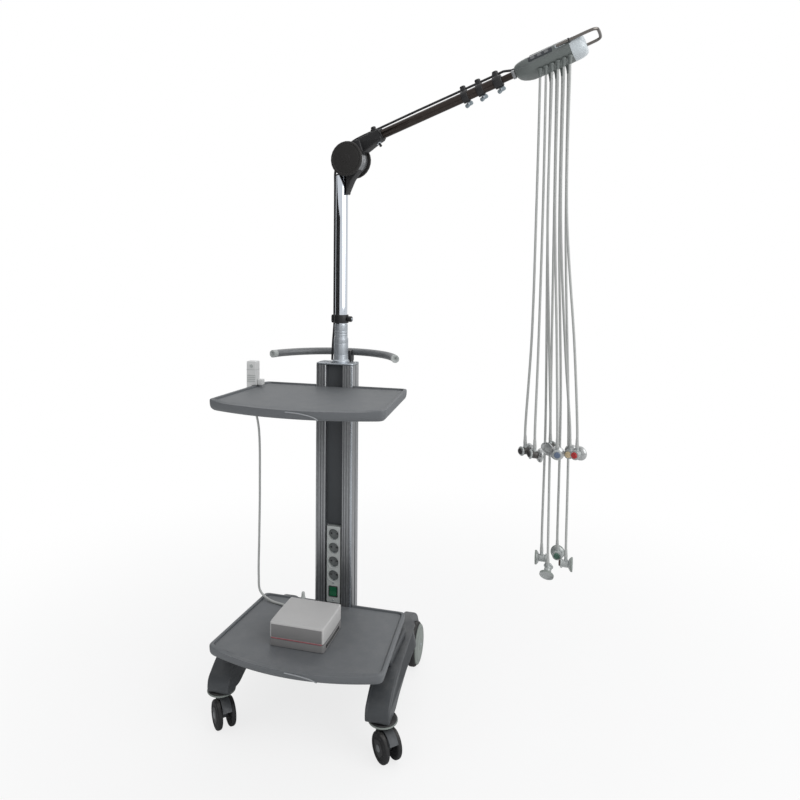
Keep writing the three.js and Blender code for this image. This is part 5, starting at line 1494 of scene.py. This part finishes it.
class TROLLEY_OT_air_hose(Operator):
    """The black air hose, in the stretches that its clips part it into"""

    bl_idname = "trolley.air_hose"
    bl_label = "Air Hose"

    def execute(self, context):
        radius = context.scene.trolley_sizes.air_radius * MM
        drum = [HINGE + [WRAP_R * math.cos(a), 0, WRAP_R * math.sin(a)]
                for a in np.radians([178, 155, 130, 106])]
        climb = np.concatenate([placed(MAST_HOSE + drum, SWIVEL), placed(ARM_HOSE, ARM)])
        route = smooth_route(climb, 4 * MM)
        clip_height = placed((0, 0, MAST_CLIP_Z), SWIVEL)[2]
        along = (route - placed((0, 0, 55), ARM)) @ ARM[0][:, 0] / MM
        first = int(np.argmin(np.abs(route[:, 2] - clip_height)))
        second, third = (int(np.argmin(np.abs(along - u))) for u in ARM_HOSE_CLIPS)
        spans = [
            ("air_hose_foot", 0, first + 2, ("trolley", "mast"),
             placed((-31, 0, 1004), SWIVEL), placed((-31, 0, 1100), SWIVEL)),
            ("air_hose_bend", first - 1, second + 2, ("mast", "arm"),
             placed(HINGE + [-WRAP_R, 0, 0], SWIVEL), placed((60, 0, 55), ARM)),
            ("air_hose_run", second - 1, third + 2, None, None, None),
            ("air_hose_tail", third - 1, len(route), ("arm", "boom"),
             placed((500, 0, 52), ARM), placed((546, 0, 52), ARM)),
        ]
        for name, low, high, bodies, start, end in spans:
            stretch = (route[low:high] - CART_ORIGIN) / MM
            shell = tube(stretch, radius / MM, 16, (0.156, 0.988, 0))
            obj = piece(name, [(shell, "air_hose")], slot="air_hose")
            if bodies:
                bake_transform(obj)
            else:
                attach(obj, "arm")
            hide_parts("air_hose_mast" if low < second - 1 else "air_hose_arm")
        return {"FINISHED"}


# ------------------------------------------------------------------ boom and head
HEAD_PLACES = np.array([552.0, 554, 558, 566, 578, 592, 620, 665, 700, 708])
HEAD_HALVES = np.array([17.0, 21, 26, 31.5, 37, 40.4, 41.4, 41.8, 42, 41.4])
HEAD_LOWS = np.array([22.0, 19, 14.6, 10, 6, 3.6, 3, 3, 3, 3.4])
HEAD_HIGHS = np.array([47.0, 50, 52, 54, 54.8, 55, 55.6, 56.4, 57, 56.6])


HEAD_SQUARE_Y, HEAD_SQUARE_Z = 0.55, 0.65


def signed_power(value, power):
    """The power of a value's size, with the value's own sign."""
    return np.sign(value) * np.abs(value) ** power


def squarish_oval(u, half, low, high, angle):
    """Points of an oval across the arm at u, flattened towards a box by two powers."""
    y = half * signed_power(np.cos(angle), HEAD_SQUARE_Y)
    w = (low + high) / 2 + (high - low) / 2 * signed_power(np.sin(angle), HEAD_SQUARE_Z)
    return np.stack(np.broadcast_arrays(u, y, w), -1)


def head_section(u):
    """The head's half width, floor and crown at a place along the arm."""
    return tuple(np.interp(u, HEAD_PLACES, row) for row in (HEAD_HALVES, HEAD_LOWS, HEAD_HIGHS))


def head_patch(u0, u1, w0, w1, grow):
    """A plate on the head's near side: rounded loops in length and height, laid on the oval."""
    loops = []
    for share, lift in ((1.0, -1.0), (1.0, grow * 0.6), (0.985, grow), (0.9, grow), (0.6, grow),
                        (0.3, grow), (0.0, grow)):
        middle_u, middle_w = (u0 + u1) / 2, (w0 + w1) / 2
        outline = rectangle(u0 - middle_u, w0 - middle_w, u1 - middle_u, w1 - middle_w, 4, 6)
        outline = outline * max(share, 1e-4) + [middle_u, middle_w]
        u, w = outline.T
        half, low, high = head_section(u)
        rise = np.clip((2 * w - low - high) / (high - low), -0.995, 0.995)
        angle = math.pi - np.arcsin(signed_power(rise, 1 / HEAD_SQUARE_Z))
        y = half * signed_power(np.cos(angle), HEAD_SQUARE_Y) - lift
        loops.append(np.column_stack([u, y, w]))
    return skin(loops, (True, False))


def parting_line(way):
    """The moulding's parting line along one side of the head."""
    u = np.linspace(556, 706, 40)
    half, low, high = head_section(u)
    return np.column_stack([u, way * (half + 0.1), (low + high) / 2])


class TROLLEY_OT_head(Operator):
    """The boom and the electrode head with its outlets, end cap and grip"""

    bl_idname = "trolley.head"
    bl_label = "Head"

    def execute(self, context):
        boom = turned([[0, 401], [9.5, 401], [9.5, 545], [9.5, 551.6], [0, 551.6]], 40)
        ring = band(9.4, 12.6, 541, 550, 1.2)
        # The chromed boom tube is coloured dark brown as a painted reflection of dark surroundings.
        piece("boom_bar", [(aimed(boom, (1, 0, 0), (0, 0, 34)), "smoked"),
                           (aimed(ring, (1, 0, 0), (0, 0, 34)), "alloy")],
              "boom", ("boom_tube",), "column_alloy", ARM)
        u = np.concatenate([[552, 552.6, 554, 556, 558, 562, 566, 572, 578, 585, 592],
                            np.linspace(600, 700, 14), [704, 707, 708]])
        angle = np.linspace(0, 2 * math.pi, 72, endpoint=False)
        section = (row[:, None] for row in head_section(u))
        shell = skin(squarish_oval(u[:, None], *section, angle))
        seam = np.concatenate([parting_line(-1), parting_line(1)[::-1]])
        parts = [(shell, "head"), (tube(seam, 0.7, 6, (0, 0, 1)), "handle")]
        down = np.array([-math.sin(math.radians(ARM_RISE)), 0, -math.cos(math.radians(ARM_RISE))])
        relief = turned([[0, -13], [7.2, -13], [7.0, -10], [6.2, -6.4], [5.6, -5.6], [5.8, -3.6],
                         [5.2, -2.8], [5.3, -1], [4.8, 0], [4.2, 6], [3.9, 10], [0, 10]], 28,
                        soft=0.5)
        parts += [(aimed(relief, down, at), "head") for at in OUTLETS]
        parts += [(head_patch(597, 664, 34, 50.5, 0.9), "screen"),
                  (head_patch(672, 700, 37, 48, 0.7), "end_cap")]
        parts += [(head_patch(left, left + 12, 38, 46, 1.4), "handle")
                  for left in (604, 623, 642)]
        parts.append((rounded_box((600, -20, 54.2), (690, 20, 58.4), 6, 1.6), "head"))
        piece("head_housing", parts, "boom", ("head_shell",), "head_grey", ARM)
        t = np.linspace(0, 1, 22)
        u = 708.4 + 39.4 * np.sin(t * math.pi / 2)
        shrink = 1 - t ** 2.6
        half, low, high = 20 + 22 * shrink, 17 - 14 * shrink, 43 + 14 * shrink
        cap = skin(squarish_oval(*(row[:, None] for row in (u, half, low, high)), angle))
        piece("head_nose", [(cap, "end_cap")], "boom", ("head_end_cap",),
              "head_light", ARM)
        near = np.array([(676, -45.2, 42), (716, -45.2, 42), (764, -45.2, 42), (777, -42.7, 42),
                         (784, -35.2, 42), (786, -23.2, 42)])
        loop = smooth_route(np.concatenate([near, near[::-1] * [1, -1, 1]]), 3.0)
        foot = turned([[0, -3], [6.4, -3], [6.4, 0], [5.4, 1.2], [0, 1.2]], 28, soft=0.4)
        feet = [(aimed(foot, (1, 0, 0), (712, y, 42)), "black") for y in (-44.2, 44.2)]
        # The steel grip rod's darker colour is a painted reflection of dark surroundings.
        piece("head_handle", [(tube(loop, 4.2, 20, (0, 0, 1)), "grip"), *feet], "boom",
              ("head_grip",), "steel_rod", ARM)
        return {"FINISHED"}


# ------------------------------------------------------------------ panel and registration
OPERATORS = (
    TROLLEY_OT_stage, TROLLEY_OT_leads, TROLLEY_OT_data_cable, TROLLEY_OT_trays,
    TROLLEY_OT_column, TROLLEY_OT_sockets, TROLLEY_OT_base, TROLLEY_OT_casters,
    TROLLEY_OT_rear_wheels, TROLLEY_OT_handle, TROLLEY_OT_pump, TROLLEY_OT_mast,
    TROLLEY_OT_elbow, TROLLEY_OT_arm, TROLLEY_OT_air_hose, TROLLEY_OT_head,
)


class TROLLEY_PT_panel(Panel):
    """Buttons for each group of pieces, and their sizes and colours"""

    bl_idname = "TROLLEY_PT_panel"
    bl_label = "Electrode Trolley"
    bl_space_type = "VIEW_3D"
    bl_region_type = "UI"
    bl_category = "Trolley"

    def draw(self, context):
        for operator in OPERATORS:
            self.layout.operator(operator.bl_idname)
        for group in (context.scene.trolley_sizes, context.scene.trolley_colours):
            for key in group.bl_rna.properties.keys():
                if key not in ("rna_type", "name"):
                    self.layout.prop(group, key)


CLASSES = (TROLLEY_PG_colours, TROLLEY_PG_sizes, *OPERATORS, TROLLEY_PT_panel)


def register():
    for each in CLASSES:
        bpy.utils.register_class(each)
    bpy.types.Scene.trolley_colours = PointerProperty(type=TROLLEY_PG_colours)
    bpy.types.Scene.trolley_sizes = PointerProperty(type=TROLLEY_PG_sizes)


def unregister():
    del bpy.types.Scene.trolley_sizes
    del bpy.types.Scene.trolley_colours
    for each in reversed(CLASSES):
        bpy.utils.unregister_class(each)


def main():
    register()
    build_groups()
    for operator in OPERATORS:
        family, action = operator.bl_idname.split(".")
        if getattr(getattr(bpy.ops, family), action)() != {"FINISHED"}:
            raise RuntimeError(f"{operator.bl_label} wasn't finished")


if __name__ == "__main__":
    main()
